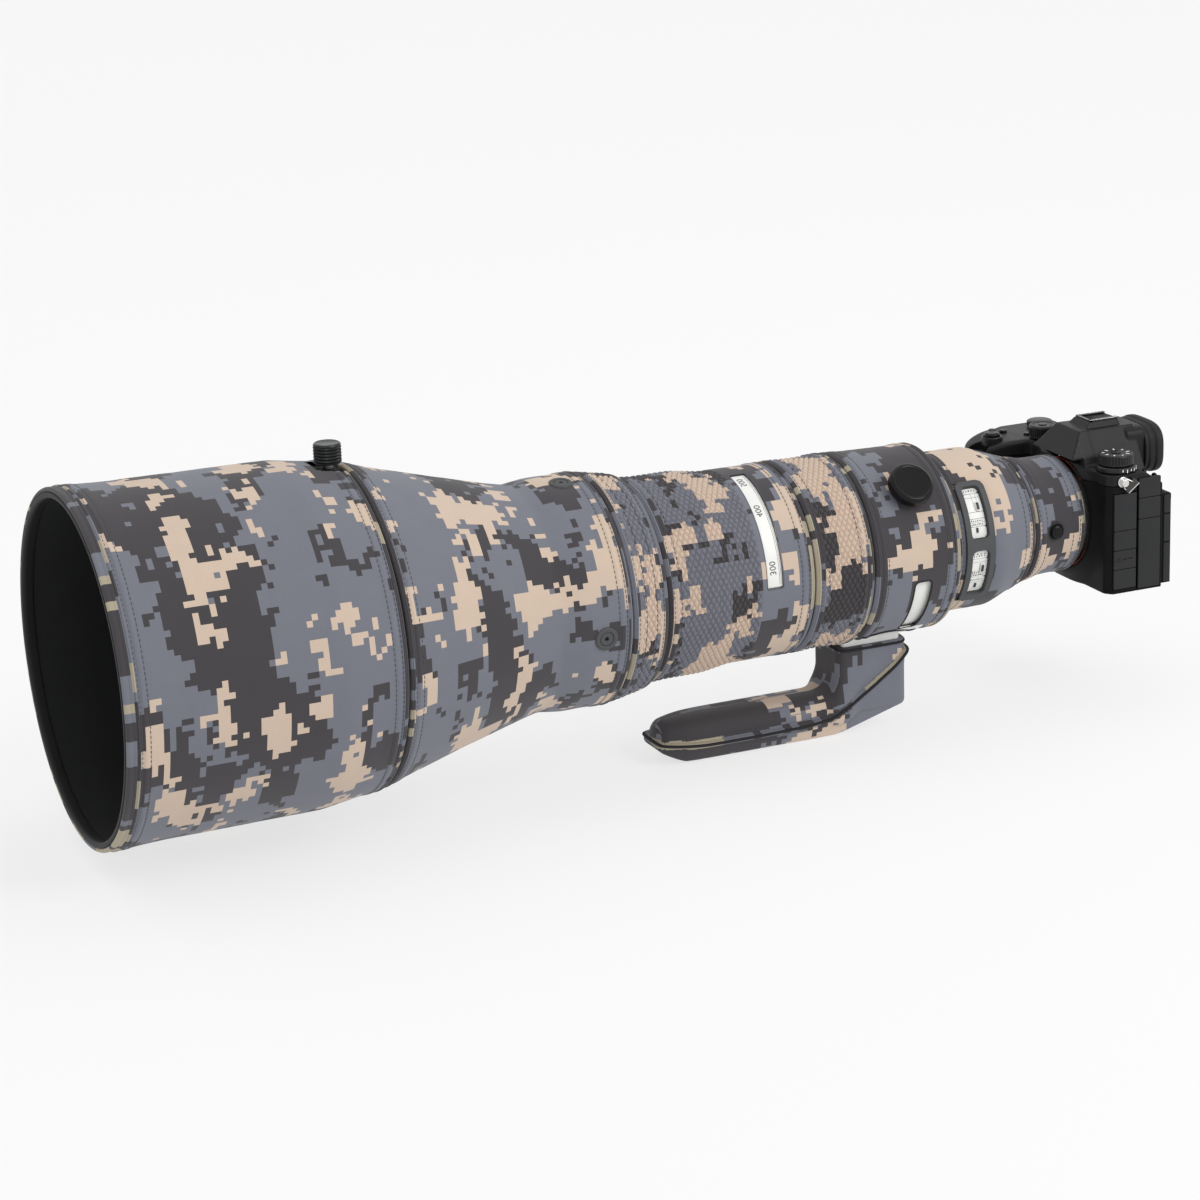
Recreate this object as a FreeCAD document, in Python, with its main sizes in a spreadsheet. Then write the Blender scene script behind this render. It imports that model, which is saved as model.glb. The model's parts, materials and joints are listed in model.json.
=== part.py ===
import FreeCAD, Part
import Sketcher
import os
from types import SimpleNamespace

# A mirrorless camera with a 300-600 mm super-telephoto lens that wears a
# camouflage neoprene cover. Row frame: -Y is where the lens looks, +Z is up,
# and the origin is the mouth of the middle threaded socket under the lens foot.

os.makedirs("parts", exist_ok=True)
document = FreeCAD.newDocument("camera_with_long_lens")
sheet = document.addObject("Spreadsheet::Sheet", "Sizes")

VECTOR = FreeCAD.Vector
ROTATION = FreeCAD.Rotation
PLACEMENT = FreeCAD.Placement

# Sizes in mm. A "distance" is measured forward from the lens mount flange.
SIZES = {
    # optical axis in the row frame
    "axis_height": 113.6,
    "socket_distance": 211.0,
    # soft cover
    "skin": 2.4,
    "snug": 0.1,
    "running_gap": 0.5,
    # lens mount and main barrel
    "mount_ring_front": 4.0,
    "mount_ring_radius": 33.0,
    "bayonet_depth": 5.0,
    "bayonet_radius": 22.8,
    "bayonet_bore": 20.5,
    "lug_radius": 25.4,
    "lug_rear": 4.6,
    "lug_front": 2.7,
    "barrel_rear_bore": 24.6,
    "barrel_rear_bore_end": 36.0,
    "barrel_bore": 43.0,
    "barrel_bore_start": 66.0,
    "barrel_tube_radius": 47.0,
    "barrel_front_radius": 52.0,
    # stations of the cover sleeves
    "mount_cover_rear": 2.2,
    "mount_cover_front": 38.3,
    "rear_cover_rear": 39.0,
    "rear_cover_step": 64.0,
    "rear_cover_front": 98.2,
    "collar_rear": 99.4,
    "collar_front": 157.0,
    "focus_rear": 157.9,
    "focus_front": 196.2,
    "zoom_rear": 197.0,
    "zoom_shoulder": 238.0,
    "zoom_rise": 256.0,
    "zoom_front": 292.3,
    "function_rear": 293.2,
    "function_mid": 304.0,
    "function_front": 317.3,
    "front_rear": 318.1,
    "bulge_front": 346.0,
    "waist_distance": 361.0,
    "cone_start": 376.0,
    "cone_middle": 408.0,
    "cone_end": 440.0,
    "front_front": 462.6,
    "hood_rear": 463.6,
    "hood_rise": 476.0,
    "hood_shoulder": 499.0,
    "hood_flare": 590.0,
    "hood_cover_front": 621.0,
    "hood_front": 626.0,
    # outer radii of the cover sleeves
    "mount_cover_rear_radius": 35.4,
    "mount_cover_middle_radius": 36.4,
    "mount_cover_front_radius": 38.9,
    "rear_cover_rear_radius": 39.2,
    "rear_cover_radius": 48.8,
    "collar_rear_radius": 55.7,
    "collar_radius": 57.0,
    "focus_radius": 57.3,
    "zoom_rear_radius": 57.2,
    "zoom_shoulder_radius": 57.6,
    "zoom_radius": 60.3,
    "function_rear_radius": 62.6,
    "function_mid_radius": 65.8,
    "function_front_radius": 67.5,
    "bulge_radius": 68.3,
    "waist_radius": 66.4,
    "cone_start_radius": 69.9,
    "cone_middle_radius": 78.3,
    "cone_end_radius": 87.2,
    "front_radius": 93.8,
    "hood_rear_radius": 94.4,
    "hood_rise_radius": 95.8,
    "hood_shoulder_radius": 99.4,
    "hood_flare_radius": 100.2,
    "hood_front_radius": 101.6,
    # collar, foot and rings
    "collar_bore": 47.5,
    "ring_bore": 47.5,
    "function_bore": 52.5,
    "foot_half_width": 17.5,
    "foot_plate_rear": 165.0,
    "foot_plate_front": 279.0,
    "foot_plate_shoulder": 256.0,
    "foot_plate_top": 89.4,
    "foot_tip_half_width": 8.0,
    "foot_tip_bottom": 98.0,
    "neck_rear": 118.0,
    "neck_front": 160.0,
    "neck_root": 50.0,
    "neck_throat": 60.5,
    "neck_waist": 68.0,
    "neck_heel": 98.0,
    "foot_wall": 2.5,
    "foot_hem": 0.8,
    "small_socket_radius": 3.175,
    "large_socket_radius": 4.7625,
    "large_socket_depth": 11.0,
    "small_socket_depth": 9.0,
    "socket_pitch": 30.0,
    "collar_knob_distance": 127.0,
    "collar_knob_angle": 46.0,
    "collar_knob_radius": 13.5,
    "collar_knob_base": 57.7,
    "collar_knob_top": 66.6,
    "collar_stem_radius": 4.0,
    "collar_stem_base": 54.4,
    "knob_bevel": 2.0,
    "collar_window_rear": 119.0,
    "collar_window_front": 130.0,
    # front barrel, front glass and hood
    "front_bore": 60.0,
    "front_wide_bore": 80.0,
    "spigot_radius": 88.4,
    "lens_front": 487.0,
    "glass_rear": 450.0,
    "glass_edge": 458.0,
    "glass_front": 469.0,
    "glass_radius": 79.6,
    "ring_front_rear": 471.0,
    "ring_front_front": 485.5,
    "ring_front_bore": 76.0,
    "hood_wall": 3.0,
    "hood_seat_radius": 88.9,
    "hood_seat_front": 488.0,
    "hood_lip_rear": 619.5,
    "hood_lip_bore": 95.6,
    "hood_knob_distance": 471.0,
    "hood_knob_radius": 8.0,
    "hood_stem_base": 93.2,
    "hood_stem_radius": 3.0,
    "hood_knob_base": 96.4,
    "hood_knob_top": 108.0,
    # inner glass
    "rear_glass_rear": 13.0,
    "rear_glass_front": 21.0,
    "zoom_group_rear": 182.0,
    "zoom_group_front": 214.0,
    "zoom_group_radius": 42.4,
    # buttons and switches on the lens
    "hold_distance": 335.0,
    "hold_angle": -8.0,
    "hold_radius": 4.2,
    "hold_base": 61.5,
    "hold_top": 68.7,
    "hole_gap": 0.5,
    "mount_button_distance": 24.0,
    "mount_button_radius": 4.4,
    "mount_button_base": 34.0,
    "mount_button_well": 33.0,
    "mount_button_top": 38.4,
    "panel_rear": 75.5,
    "panel_front": 90.5,
    "panel_top": 47.4,
    "bezel_rear": 73.5,
    "bezel_front": 92.5,
    "bezel_top": 50.6,
    "bezel_base": 48.9,
    "window_rear": 77.0,
    "window_front": 89.0,
    "switch_base": 47.7,
    "switch_top": 49.8,
    "switch_rear": 79.0,
    "switch_front": 82.5,
    # camera body; a "back" is measured rearward from the flange
    "body_left": 50.3,
    "body_right": 78.6,
    "grip_inner": 44.0,
    "body_front": 4.2,
    "body_split": 24.7,
    "body_rear": 43.0,
    "body_bottom": 42.0,
    "side_top": 26.0,
    "shoulder": 33.0,
    "grip_shoulder": 36.0,
    "seam": 0.2,
    "body_wall": 2.2,
    "body_corner": 4.0,
    "grip_front": 29.0,
    "throat_radius": 31.2,
    "body_ring_radius": 30.8,
    "body_ring_bore": 23.2,
    "body_ring_groove": 26.2,
    "body_ring_front": 0.2,
    "body_ring_lip": 2.2,
    "body_ring_rear": 6.0,
    "trim_radius": 34.7,
    "trim_front": 0.7,
    "hump_base_left": 24.5,
    "hump_base_right": 27.5,
    "hump_top_left": 15.0,
    "hump_top_right": 13.5,
    "hump_top": 54.2,
    "hump_back": 47.0,
    "hump_slope_back": 13.0,
    "shoe_half": 11.0,
    "shoe_slot_half": 9.3,
    "shoe_lip_half": 6.2,
    "shoe_floor": 54.9,
    "shoe_ceiling": 56.9,
    "shoe_top": 57.9,
    "shoe_front": 15.0,
    "shoe_rear": 38.0,
    "eye_height": 33.5,
    "eyepiece_radius": 15.0,
    "eyepiece_rear": 56.0,
    "eyecup_bore": 15.5,
    "eyecup_neck": 16.8,
    "eyecup_front": 48.2,
    "eyecup_waist": 53.0,
    "eyecup_rim": 22.0,
    "eyecup_rear": 66.0,
    "dial_x": 38.0,
    "dial_back": 17.0,
    "focus_dial_radius": 12.4,
    "focus_dial_top": 36.6,
    "drive_dial_radius": 10.7,
    "drive_dial_base": 37.0,
    "drive_dial_top": 44.0,
    "mode_dial_x": -41.0,
    "mode_dial_back": 13.0,
    "mode_dial_radius": 8.7,
    "mode_dial_base": 36.5,
    "mode_dial_top": 44.6,
    "exposure_dial_x": -66.5,
    "exposure_dial_back": 26.0,
    "exposure_dial_radius": 8.2,
    "exposure_dial_base": 36.5,
    "exposure_dial_top": 41.5,
    "shutter_x": -57.0,
    "shutter_back": -14.0,
    "shutter_radius": 5.2,
    "shutter_base": 36.4,
    "shutter_top": 39.4,
    "front_dial_back": -23.0,
    "front_dial_radius": 6.5,
    "front_dial_base": 23.0,
    "front_dial_top": 28.5,
    "monitor_left": 46.0,
    "monitor_right": 38.0,
    "monitor_bottom": 41.0,
    "monitor_top": 16.0,
    "arm_front": 43.4,
    "arm_rear": 44.6,
    "monitor_front": 45.0,
    "monitor_rear": 51.6,
    "screen_hinge_back": 50.4,
    "screen_hinge_height": 14.8,
    "screen_hinge_radius": 1.2,
    "screen_pin_radius": 0.7,
    "screen_ear_width": 4.0,
    "screen_ear_right": -28.0,
    "screen_ear_left": 32.0,
    "wheel_x": -58.0,
    "wheel_height": -12.0,
    "wheel_radius": 9.0,
    "wheel_front": 43.4,
    "wheel_rear": 45.6,
    "door_depth": 2.0,
    "door_face": 50.9,
    "front_door_front": 8.4,
    "front_door_rear": 24.0,
    "front_door_bottom": -1.8,
    "front_door_top": 21.0,
    "rear_door_front": 25.6,
    "rear_door_rear": 41.0,
    "rear_door_bottom": -40.0,
    "rear_door_top": 3.4,
    "battery_left": -51.6,
    "battery_right": -74.0,
    "battery_front": -19.4,
    "battery_rear": 18.6,
    "battery_bottom": -38.6,
    "battery_top": 12.6,
    "battery_clearance": 0.5,
    "battery_door_thick": 1.8,
    "sensor_half_width": 24.0,
    "sensor_half_height": 17.5,
    "sensor_front": 17.8,
    "sensor_rear": 21.5,
    "base_socket_back": 15.0,
    "base_socket_depth": 5.5,
    "base_boss_radius": 7.0,
    "board_front": 30.0,
    "board_rear": 33.0,
    "release_x": -36.0,
    "release_height": -18.0,
    "release_radius": 4.2,
    "release_top": 1.0,
    "release_base": 3.9,
    "lug_x": 54.6,
    "lug_back": 14.0,
    "lug_height": 28.6,
}


class Length:
    """A size: its number, and the sheet formula that gives it."""

    def __init__(self, number, formula):
        self.number = number
        self.formula = formula

    def __add__(self, other):
        other = as_length(other)
        return Length(self.number + other.number, f"({self.formula} + {other.formula})")

    def __sub__(self, other):
        other = as_length(other)
        return Length(self.number - other.number, f"({self.formula} - {other.formula})")

    def __mul__(self, factor):
        return Length(self.number * factor, f"({self.formula} * {factor})")

    def __neg__(self):
        return Length(-self.number, f"(0 - {self.formula})")


def as_length(value):
    """A plain number becomes a Length; a Length stays one."""
    if isinstance(value, Length):
        return value
    return Length(float(value), f"({float(value)})")


size = SimpleNamespace()
for row, (name, value) in enumerate(SIZES.items(), start=1):
    sheet.set(f"A{row}", name)
    sheet.set(f"B{row}", str(value))
    sheet.setAlias(f"B{row}", name)
    setattr(size, name, Length(value, f"Sizes.{name}"))
document.recompute()

PARTS = []


def lens_frame():
    """x forward along the optical axis, y to the port side, z up, origin at the flange."""
    base = VECTOR(0, SIZES["socket_distance"], SIZES["axis_height"])
    return PLACEMENT(base, ROTATION(VECTOR(0, 0, 1), -90))


def camera_frame():
    """x to the port side, y rearward, z up, origin at the flange on the optical axis."""
    return PLACEMENT(VECTOR(0, SIZES["socket_distance"], SIZES["axis_height"]), ROTATION())


def turned_frame(x, back, height, direction):
    """A frame whose x axis is a knob's or dial's axis, in camera coordinates."""
    turn = ROTATION(VECTOR(1, 0, 0), VECTOR(*direction))
    return camera_frame() * PLACEMENT(VECTOR(x, back, height), turn)


def radial_frame(distance, angle):
    """A frame at a distance along the lens whose x axis leaves the lens at an angle."""
    turn = ROTATION(VECTOR(1, 0, 0), angle)
    stand = ROTATION(VECTOR(0, 0, 1), 90)
    return lens_frame() * PLACEMENT(VECTOR(distance, 0, 0), turn * stand)


def new_body(label, placement):
    """An empty body, listed as a sub-part."""
    body = document.addObject("PartDesign::Body", label)
    body.Label = label
    body.Placement = placement
    PARTS.append(body)
    return body


def origin_plane(body, role):
    """One of the body's own origin planes."""
    return [feature for feature in body.Origin.OriginFeatures if feature.Role == role][0]


def sketch_on(body, role, offset, tilt=0.0):
    """A sketch on an origin plane, moved along its normal or turned about its x axis."""
    sketch = body.newObject("Sketcher::SketchObject", f"{body.Label}_sketch")
    sketch.AttachmentSupport = [(origin_plane(body, role), "")]
    sketch.MapMode = "FlatFace"
    turn = ROTATION(VECTOR(1, 0, 0), tilt)
    sketch.AttachmentOffset = PLACEMENT(VECTOR(0, 0, offset.number), turn)
    if tilt == 0.0:
        sketch.setExpression("AttachmentOffset.Base.z", offset.formula)
    return sketch


def hold(sketch, kind, geometry, point, length):
    """Tie one coordinate of a sketch point to a size."""
    tie = Sketcher.Constraint(kind, -1, 1, geometry, point, length.number)
    index = sketch.addConstraint(tie)
    sketch.setExpression(f"Constraints[{index}]", length.formula)


def outline(sketch, points):
    """A closed polygon whose corners are each held by two sizes."""
    corners = [(as_length(x), as_length(y)) for x, y in points]
    count = len(corners)
    for index in range(count):
        x, y = corners[index]
        next_x, next_y = corners[(index + 1) % count]
        start = VECTOR(x.number, y.number, 0)
        end = VECTOR(next_x.number, next_y.number, 0)
        sketch.addGeometry(Part.LineSegment(start, end), False)
    for index in range(count):
        sketch.addConstraint(Sketcher.Constraint("Coincident", index, 2, (index + 1) % count, 1))
    for index, (x, y) in enumerate(corners):
        hold(sketch, "DistanceX", index, 1, x)
        hold(sketch, "DistanceY", index, 1, y)


def circle(sketch, x, y, radius):
    """A circle with a held centre and radius."""
    x, y, radius = as_length(x), as_length(y), as_length(radius)
    centre = VECTOR(x.number, y.number, 0)
    ring = sketch.addGeometry(Part.Circle(centre, VECTOR(0, 0, 1), radius.number), False)
    hold(sketch, "DistanceX", ring, 3, x)
    hold(sketch, "DistanceY", ring, 3, y)
    index = sketch.addConstraint(Sketcher.Constraint("Radius", ring, radius.number))
    sketch.setExpression(f"Constraints[{index}]", radius.formula)


def turn_feature(body, kind, points, middle=0.0, span=360.0):
    """Turn a profile (along the axis, radius) about the body's x axis."""
    sketch = sketch_on(body, "XY_Plane", as_length(0), tilt=middle)
    outline(sketch, points)
    feature = body.newObject(kind, f"{body.Label}_turned")
    feature.Profile = sketch
    feature.ReferenceAxis = (sketch, ["H_Axis"])
    feature.Angle = span
    feature.Midplane = span < 360.0
    sketch.Visibility = False
    return feature


def turned(label, points, placement):
    """A body turned from a closed profile."""
    body = new_body(label, placement)
    turn_feature(body, "PartDesign::Revolution", points)
    return body


def turn_cut(body, points, middle, span):
    """Cut a turned slot over part of the circle."""
    return turn_feature(body, "PartDesign::Groove", points, middle, span)


def turn_add(body, points, middle, span):
    """Add a turned lug over part of the circle."""
    return turn_feature(body, "PartDesign::Revolution", points, middle, span)


def linear_feature(body, kind, sketch, length):
    """Pad or pocket a sketch by a held length."""
    feature = body.newObject(kind, f"{body.Label}_step")
    feature.Profile = sketch
    feature.Length = length.number
    feature.setExpression("Length", length.formula)
    sketch.Visibility = False
    return feature


# A pad grows along its plane's normal and a pocket cuts against it. The XZ
# plane's normal is -Y, so a start and an end swap roles on that plane.


def base_offset(role, start, end, grows):
    """Where the sketch stands so that the feature fills start to end."""
    if role == "XZ_Plane":
        return -end if grows else -start
    return start if grows else end


def pad(body, role, start, end, points):
    """Pad a polygon between two positions along an axis."""
    start, end = as_length(start), as_length(end)
    sketch = sketch_on(body, role, base_offset(role, start, end, True))
    outline(sketch, points)
    return linear_feature(body, "PartDesign::Pad", sketch, end - start)


def pocket(body, role, start, end, points):
    """Pocket a polygon between two positions along an axis."""
    start, end = as_length(start), as_length(end)
    sketch = sketch_on(body, role, base_offset(role, start, end, False))
    outline(sketch, points)
    return linear_feature(body, "PartDesign::Pocket", sketch, end - start)


def round_pad(body, role, start, end, centre, radius):
    """Pad a disc between two positions along an axis."""
    start, end = as_length(start), as_length(end)
    sketch = sketch_on(body, role, base_offset(role, start, end, True))
    circle(sketch, centre[0], centre[1], radius)
    return linear_feature(body, "PartDesign::Pad", sketch, end - start)


def round_pocket(body, role, start, end, centre, radius):
    """Pocket a disc between two positions along an axis."""
    start, end = as_length(start), as_length(end)
    sketch = sketch_on(body, role, base_offset(role, start, end, False))
    circle(sketch, centre[0], centre[1], radius)
    return linear_feature(body, "PartDesign::Pocket", sketch, end - start)


def radial_hole(body, distance, angle, radius, reach):
    """A round hole from the optical axis out to a reach, at an angle round the lens."""
    sketch = sketch_on(body, "XY_Plane", as_length(0), tilt=angle - 90.0)
    circle(sketch, distance, 0, radius)
    hole = linear_feature(body, "PartDesign::Pocket", sketch, as_length(reach))
    hole.Reversed = True
    return hole


def box(low_x, high_x, low_y, high_y):
    """The four corners of a rectangle."""
    return [(low_x, low_y), (high_x, low_y), (high_x, high_y), (low_x, high_y)]


def trimmed_box(low_x, high_x, low_y, high_y, corner):
    """A rectangle with its four corners cut off."""
    low_x, high_x = as_length(low_x), as_length(high_x)
    low_y, high_y = as_length(low_y), as_length(high_y)
    return [
        (low_x + corner, low_y),
        (high_x - corner, low_y),
        (high_x, low_y + corner),
        (high_x, high_y - corner),
        (high_x - corner, high_y),
        (low_x + corner, high_y),
        (low_x, high_y - corner),
        (low_x, low_y + corner),
    ]


# ---------------------------------------------------------------- sleeves

def sleeve_profile(outer):
    """Outer line of a sleeve and the same line one skin thickness inside it."""
    inner = [(distance, radius - size.skin) for distance, radius in reversed(outer)]
    return outer + inner


def under_sleeve(outer):
    """The line of the hard surface that a sleeve sits on."""
    return [(distance, radius - size.skin - size.snug) for distance, radius in outer]


MOUNT_LINE = [
    (size.mount_cover_rear, size.mount_cover_rear_radius),
    (size.mount_button_distance, size.mount_cover_middle_radius),
    (size.mount_cover_front, size.mount_cover_front_radius),
]
REAR_LINE = [
    (size.rear_cover_rear, size.rear_cover_rear_radius),
    (size.rear_cover_step, size.rear_cover_radius),
    (size.rear_cover_front, size.rear_cover_radius),
]
COLLAR_LINE = [
    (size.collar_rear, size.collar_rear_radius),
    (size.collar_front, size.collar_radius),
]
FOCUS_LINE = [
    (size.focus_rear, size.focus_radius),
    (size.focus_front, size.focus_radius),
]
ZOOM_LINE = [
    (size.zoom_rear, size.zoom_rear_radius),
    (size.zoom_shoulder, size.zoom_shoulder_radius),
    (size.zoom_rise, size.zoom_radius),
    (size.zoom_front, size.zoom_radius),
]
FUNCTION_LINE = [
    (size.function_rear, size.function_rear_radius),
    (size.function_mid, size.function_mid_radius),
    (size.function_front, size.function_front_radius),
]
FRONT_LINE = [
    (size.front_rear, size.bulge_radius),
    (size.bulge_front, size.bulge_radius),
    (size.waist_distance, size.waist_radius),
    (size.cone_start, size.cone_start_radius),
    (size.cone_middle, size.cone_middle_radius),
    (size.cone_end, size.cone_end_radius),
    (size.front_front, size.front_radius),
]
HOOD_LINE = [
    (size.hood_rear, size.hood_rear_radius),
    (size.hood_rise, size.hood_rise_radius),
    (size.hood_shoulder, size.hood_shoulder_radius),
    (size.hood_flare, size.hood_flare_radius),
    (size.hood_cover_front, size.hood_front_radius),
]

HOLD_ANGLES = [SIZES["hold_angle"] + 90.0 * quarter for quarter in range(4)]


def mount_cover():
    """The rear sleeve, round the lens between the camera and the switch panel."""
    body = turned("mount_cover", sleeve_profile(MOUNT_LINE), lens_frame())
    hole = size.mount_button_radius + size.hole_gap
    radial_hole(body, size.mount_button_distance, 0.0, hole, size.barrel_bore)


def rear_barrel_cover():
    """The sleeve with the opening for the switch panel."""
    body = turned("rear_barrel_cover", sleeve_profile(REAR_LINE), lens_frame())
    opening = box(size.panel_rear, size.panel_front, size.barrel_bore, size.bezel_top)
    turn_cut(body, opening, 4.0, 88.0)


def collar_cover():
    """The sleeve on the collar, with its window and the openings for foot and knob."""
    body = turned("collar_cover", sleeve_profile(COLLAR_LINE), lens_frame())
    window = box(size.collar_window_rear, size.collar_window_front, size.collar_bore, size.collar_radius + 1)
    turn_cut(body, window, -34.0, 44.0)
    gap = size.foot_half_width + size.foot_wall + size.snug
    rear = size.neck_rear - size.foot_wall - size.snug
    front = size.neck_front + size.foot_wall + size.snug
    pocket(body, "XY_Plane", -size.collar_radius - 1, -size.foot_half_width, box(rear, front, -gap, gap))
    knob = size.collar_stem_radius + size.running_gap
    radial_hole(body, size.collar_knob_distance, SIZES["collar_knob_angle"], knob, size.collar_radius + 5)


def focus_ring_cover():
    """The ribbed sleeve on the focus ring."""
    turned("focus_ring_cover", sleeve_profile(FOCUS_LINE), lens_frame())


def zoom_ring_cover():
    """The ribbed sleeve on the zoom ring, with the window over the zoom scale."""
    body = turned("zoom_ring_cover", sleeve_profile(ZOOM_LINE), lens_frame())
    window = box(218, 228, size.ring_bore, size.zoom_radius)
    turn_cut(body, window, 41.0, 82.0)


def function_ring_cover():
    """The narrow ribbed sleeve on the function ring."""
    turned("function_ring_cover", sleeve_profile(FUNCTION_LINE), lens_frame())


def front_barrel_cover():
    """The long sleeve from the hold buttons to the hood."""
    body = turned("front_barrel_cover", sleeve_profile(FRONT_LINE), lens_frame())
    for angle in HOLD_ANGLES:
        radial_hole(body, size.hold_distance, angle, size.hold_radius + size.hole_gap, size.bulge_radius + 3)


def hood_cover():
    """The sleeve on the hood, cut out round the hood's lock knob."""
    body = turned("hood_cover", sleeve_profile(HOOD_LINE), lens_frame())
    cut = box(size.hood_rear - 1, 481.5, size.hood_seat_radius, size.hood_shoulder_radius + 2)
    turn_cut(body, cut, 90.0, 17.0)


# ------------------------------------------------------------- hard lens

def lens_mount():
    """Steel mount flange with its bayonet tube and three lugs."""
    front = size.mount_ring_front - size.snug
    profile = [
        (front, size.bayonet_bore),
        (front, size.mount_ring_radius - 0.3),
        (0.3, size.mount_ring_radius - 0.3),
        (0.3, size.bayonet_radius),
        (-size.bayonet_depth, size.bayonet_radius),
        (-size.bayonet_depth, size.bayonet_bore),
    ]
    body = turned("lens_mount", profile, lens_frame())
    lug = box(-size.lug_rear, -size.lug_front, size.bayonet_radius - 0.5, size.lug_radius)
    for middle in (90.0, 210.0, 330.0):
        turn_add(body, lug, middle, 46.0)


def main_barrel():
    """The lens tube from the mount to the front barrel, which carries the rings."""
    outer = under_sleeve(MOUNT_LINE)[1:] + under_sleeve(REAR_LINE)
    profile = (
        [(size.mount_ring_front, size.mount_ring_radius - 0.6)]
        + outer
        + [
            (size.rear_cover_front, size.barrel_tube_radius),
            (size.zoom_front + 0.2, size.barrel_tube_radius),
            (size.zoom_front + 0.2, size.barrel_front_radius),
            (size.function_front + 0.6, size.barrel_front_radius),
            (size.function_front + 0.6, size.barrel_bore),
            (size.barrel_bore_start, size.barrel_bore),
            (size.barrel_rear_bore_end, size.barrel_rear_bore),
            (size.mount_ring_front, size.barrel_rear_bore),
        ]
    )
    body = turned("main_barrel", profile, lens_frame())
    well = size.mount_button_radius + size.hole_gap
    spot = (size.mount_button_distance, 0)
    round_pocket(body, "XZ_Plane", size.mount_button_well, size.mount_button_base + 5, spot, well)


def front_barrel():
    """The widening front of the lens, ending in the spigot the hood slides over."""
    wall = size.front_bore
    profile = under_sleeve(FRONT_LINE) + [
        (size.front_front, size.spigot_radius),
        (size.lens_front, size.spigot_radius),
        (size.lens_front, size.front_wide_bore),
        (size.cone_end + 4, size.front_wide_bore),
        (size.cone_middle, size.front_bore + 10),
        (size.waist_distance, wall),
        (size.front_rear + 4, wall),
        (size.front_rear + 4, size.barrel_tube_radius),
        (size.front_rear, size.barrel_tube_radius),
    ]
    body = turned("front_barrel", profile, lens_frame())
    for angle in HOLD_ANGLES:
        radial_hole(body, size.hold_distance, angle, size.hold_radius + size.hole_gap, size.bulge_radius + 3)


def front_ring():
    """The ring that keeps the front glass in."""
    profile = box(size.ring_front_rear, size.ring_front_front, size.ring_front_bore, size.glass_radius + 0.2)
    turned("front_ring", profile, lens_frame())


def front_element():
    """The large front glass, bulging forward."""
    profile = [
        (size.glass_rear, 0),
        (size.glass_rear, size.glass_radius),
        (size.glass_edge, size.glass_radius),
        (size.glass_edge + 4, size.glass_radius * 0.8),
        (size.glass_edge + 8.5, size.glass_radius * 0.5),
        (size.glass_front - 0.7, size.glass_radius * 0.25),
        (size.glass_front, 0),
    ]
    turned("front_element", profile, lens_frame())


def rear_element():
    """The rear glass in its cell, just inside the mount."""
    profile = [
        (size.rear_glass_rear, 0),
        (size.rear_glass_rear + 2, size.barrel_rear_bore - 0.1),
        (size.rear_glass_front, size.barrel_rear_bore - 0.1),
        (size.rear_glass_front, 0),
    ]
    turned("rear_element", profile, lens_frame())


def zoom_group():
    """The lens group that travels along the tube when the zoom ring turns."""
    profile = box(size.zoom_group_rear, size.zoom_group_front, 0, size.zoom_group_radius)
    turned("zoom_group", profile, lens_frame())


def ring_profile(line, bore):
    """A grip ring that fills the space between the tube and its sleeve."""
    rear = line[0][0]
    front = line[-1][0]
    return under_sleeve(line) + [(front, bore), (rear, bore)]


def focus_ring():
    """The focus ring."""
    turned("focus_ring", ring_profile(FOCUS_LINE, size.ring_bore), lens_frame())


def zoom_ring():
    """The zoom ring."""
    turned("zoom_ring", ring_profile(ZOOM_LINE, size.ring_bore), lens_frame())


def function_ring():
    """The function ring."""
    turned("function_ring", ring_profile(FUNCTION_LINE, size.function_bore), lens_frame())


def hold_button(label, angle):
    """One of the four focus hold buttons round the front barrel."""
    profile = box(size.hold_base, size.hold_top, 0, size.hold_radius)
    turned(label, profile, radial_frame(SIZES["hold_distance"], angle))


def mount_button():
    """The small round button near the mount."""
    profile = box(size.mount_button_base, size.mount_button_top, 0, size.mount_button_radius)
    turned("mount_button", profile, radial_frame(SIZES["mount_button_distance"], 0.0))


def switch_panel():
    """The white curved panel that the switches sit on."""
    body = new_body("switch_panel", lens_frame())
    base = size.rear_cover_radius - size.skin
    profile = box(size.panel_rear + 0.3, size.panel_front - 0.3, base, size.panel_top)
    turn_feature(body, "PartDesign::Revolution", profile, 4.0, 86.0)


def switch_bezel():
    """The dark frame round the switches, with two windows."""
    body = new_body("switch_bezel", lens_frame())
    profile = box(size.bezel_rear, size.bezel_front, size.bezel_base, size.bezel_top)
    turn_feature(body, "PartDesign::Revolution", profile, 4.0, 92.0)
    window = box(size.window_rear, size.window_front, size.bezel_base - 1, size.bezel_top + 1)
    turn_cut(body, window, 27.0, 38.0)
    turn_cut(body, window, -18.0, 36.0)


def lens_switch(label, middle):
    """A sliding switch key on the panel."""
    body = new_body(label, lens_frame())
    profile = box(size.switch_rear, size.switch_front, size.switch_base, size.switch_top)
    turn_feature(body, "PartDesign::Revolution", profile, middle, 7.0)


# ---------------------------------------------------------- collar and foot

def collar_ring():
    """The ring that the lens turns in, fixed to the foot."""
    line = under_sleeve(COLLAR_LINE)
    profile = line + [(size.collar_front, size.collar_bore), (size.collar_rear, size.collar_bore)]
    turned("collar_ring", profile, lens_frame())


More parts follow.
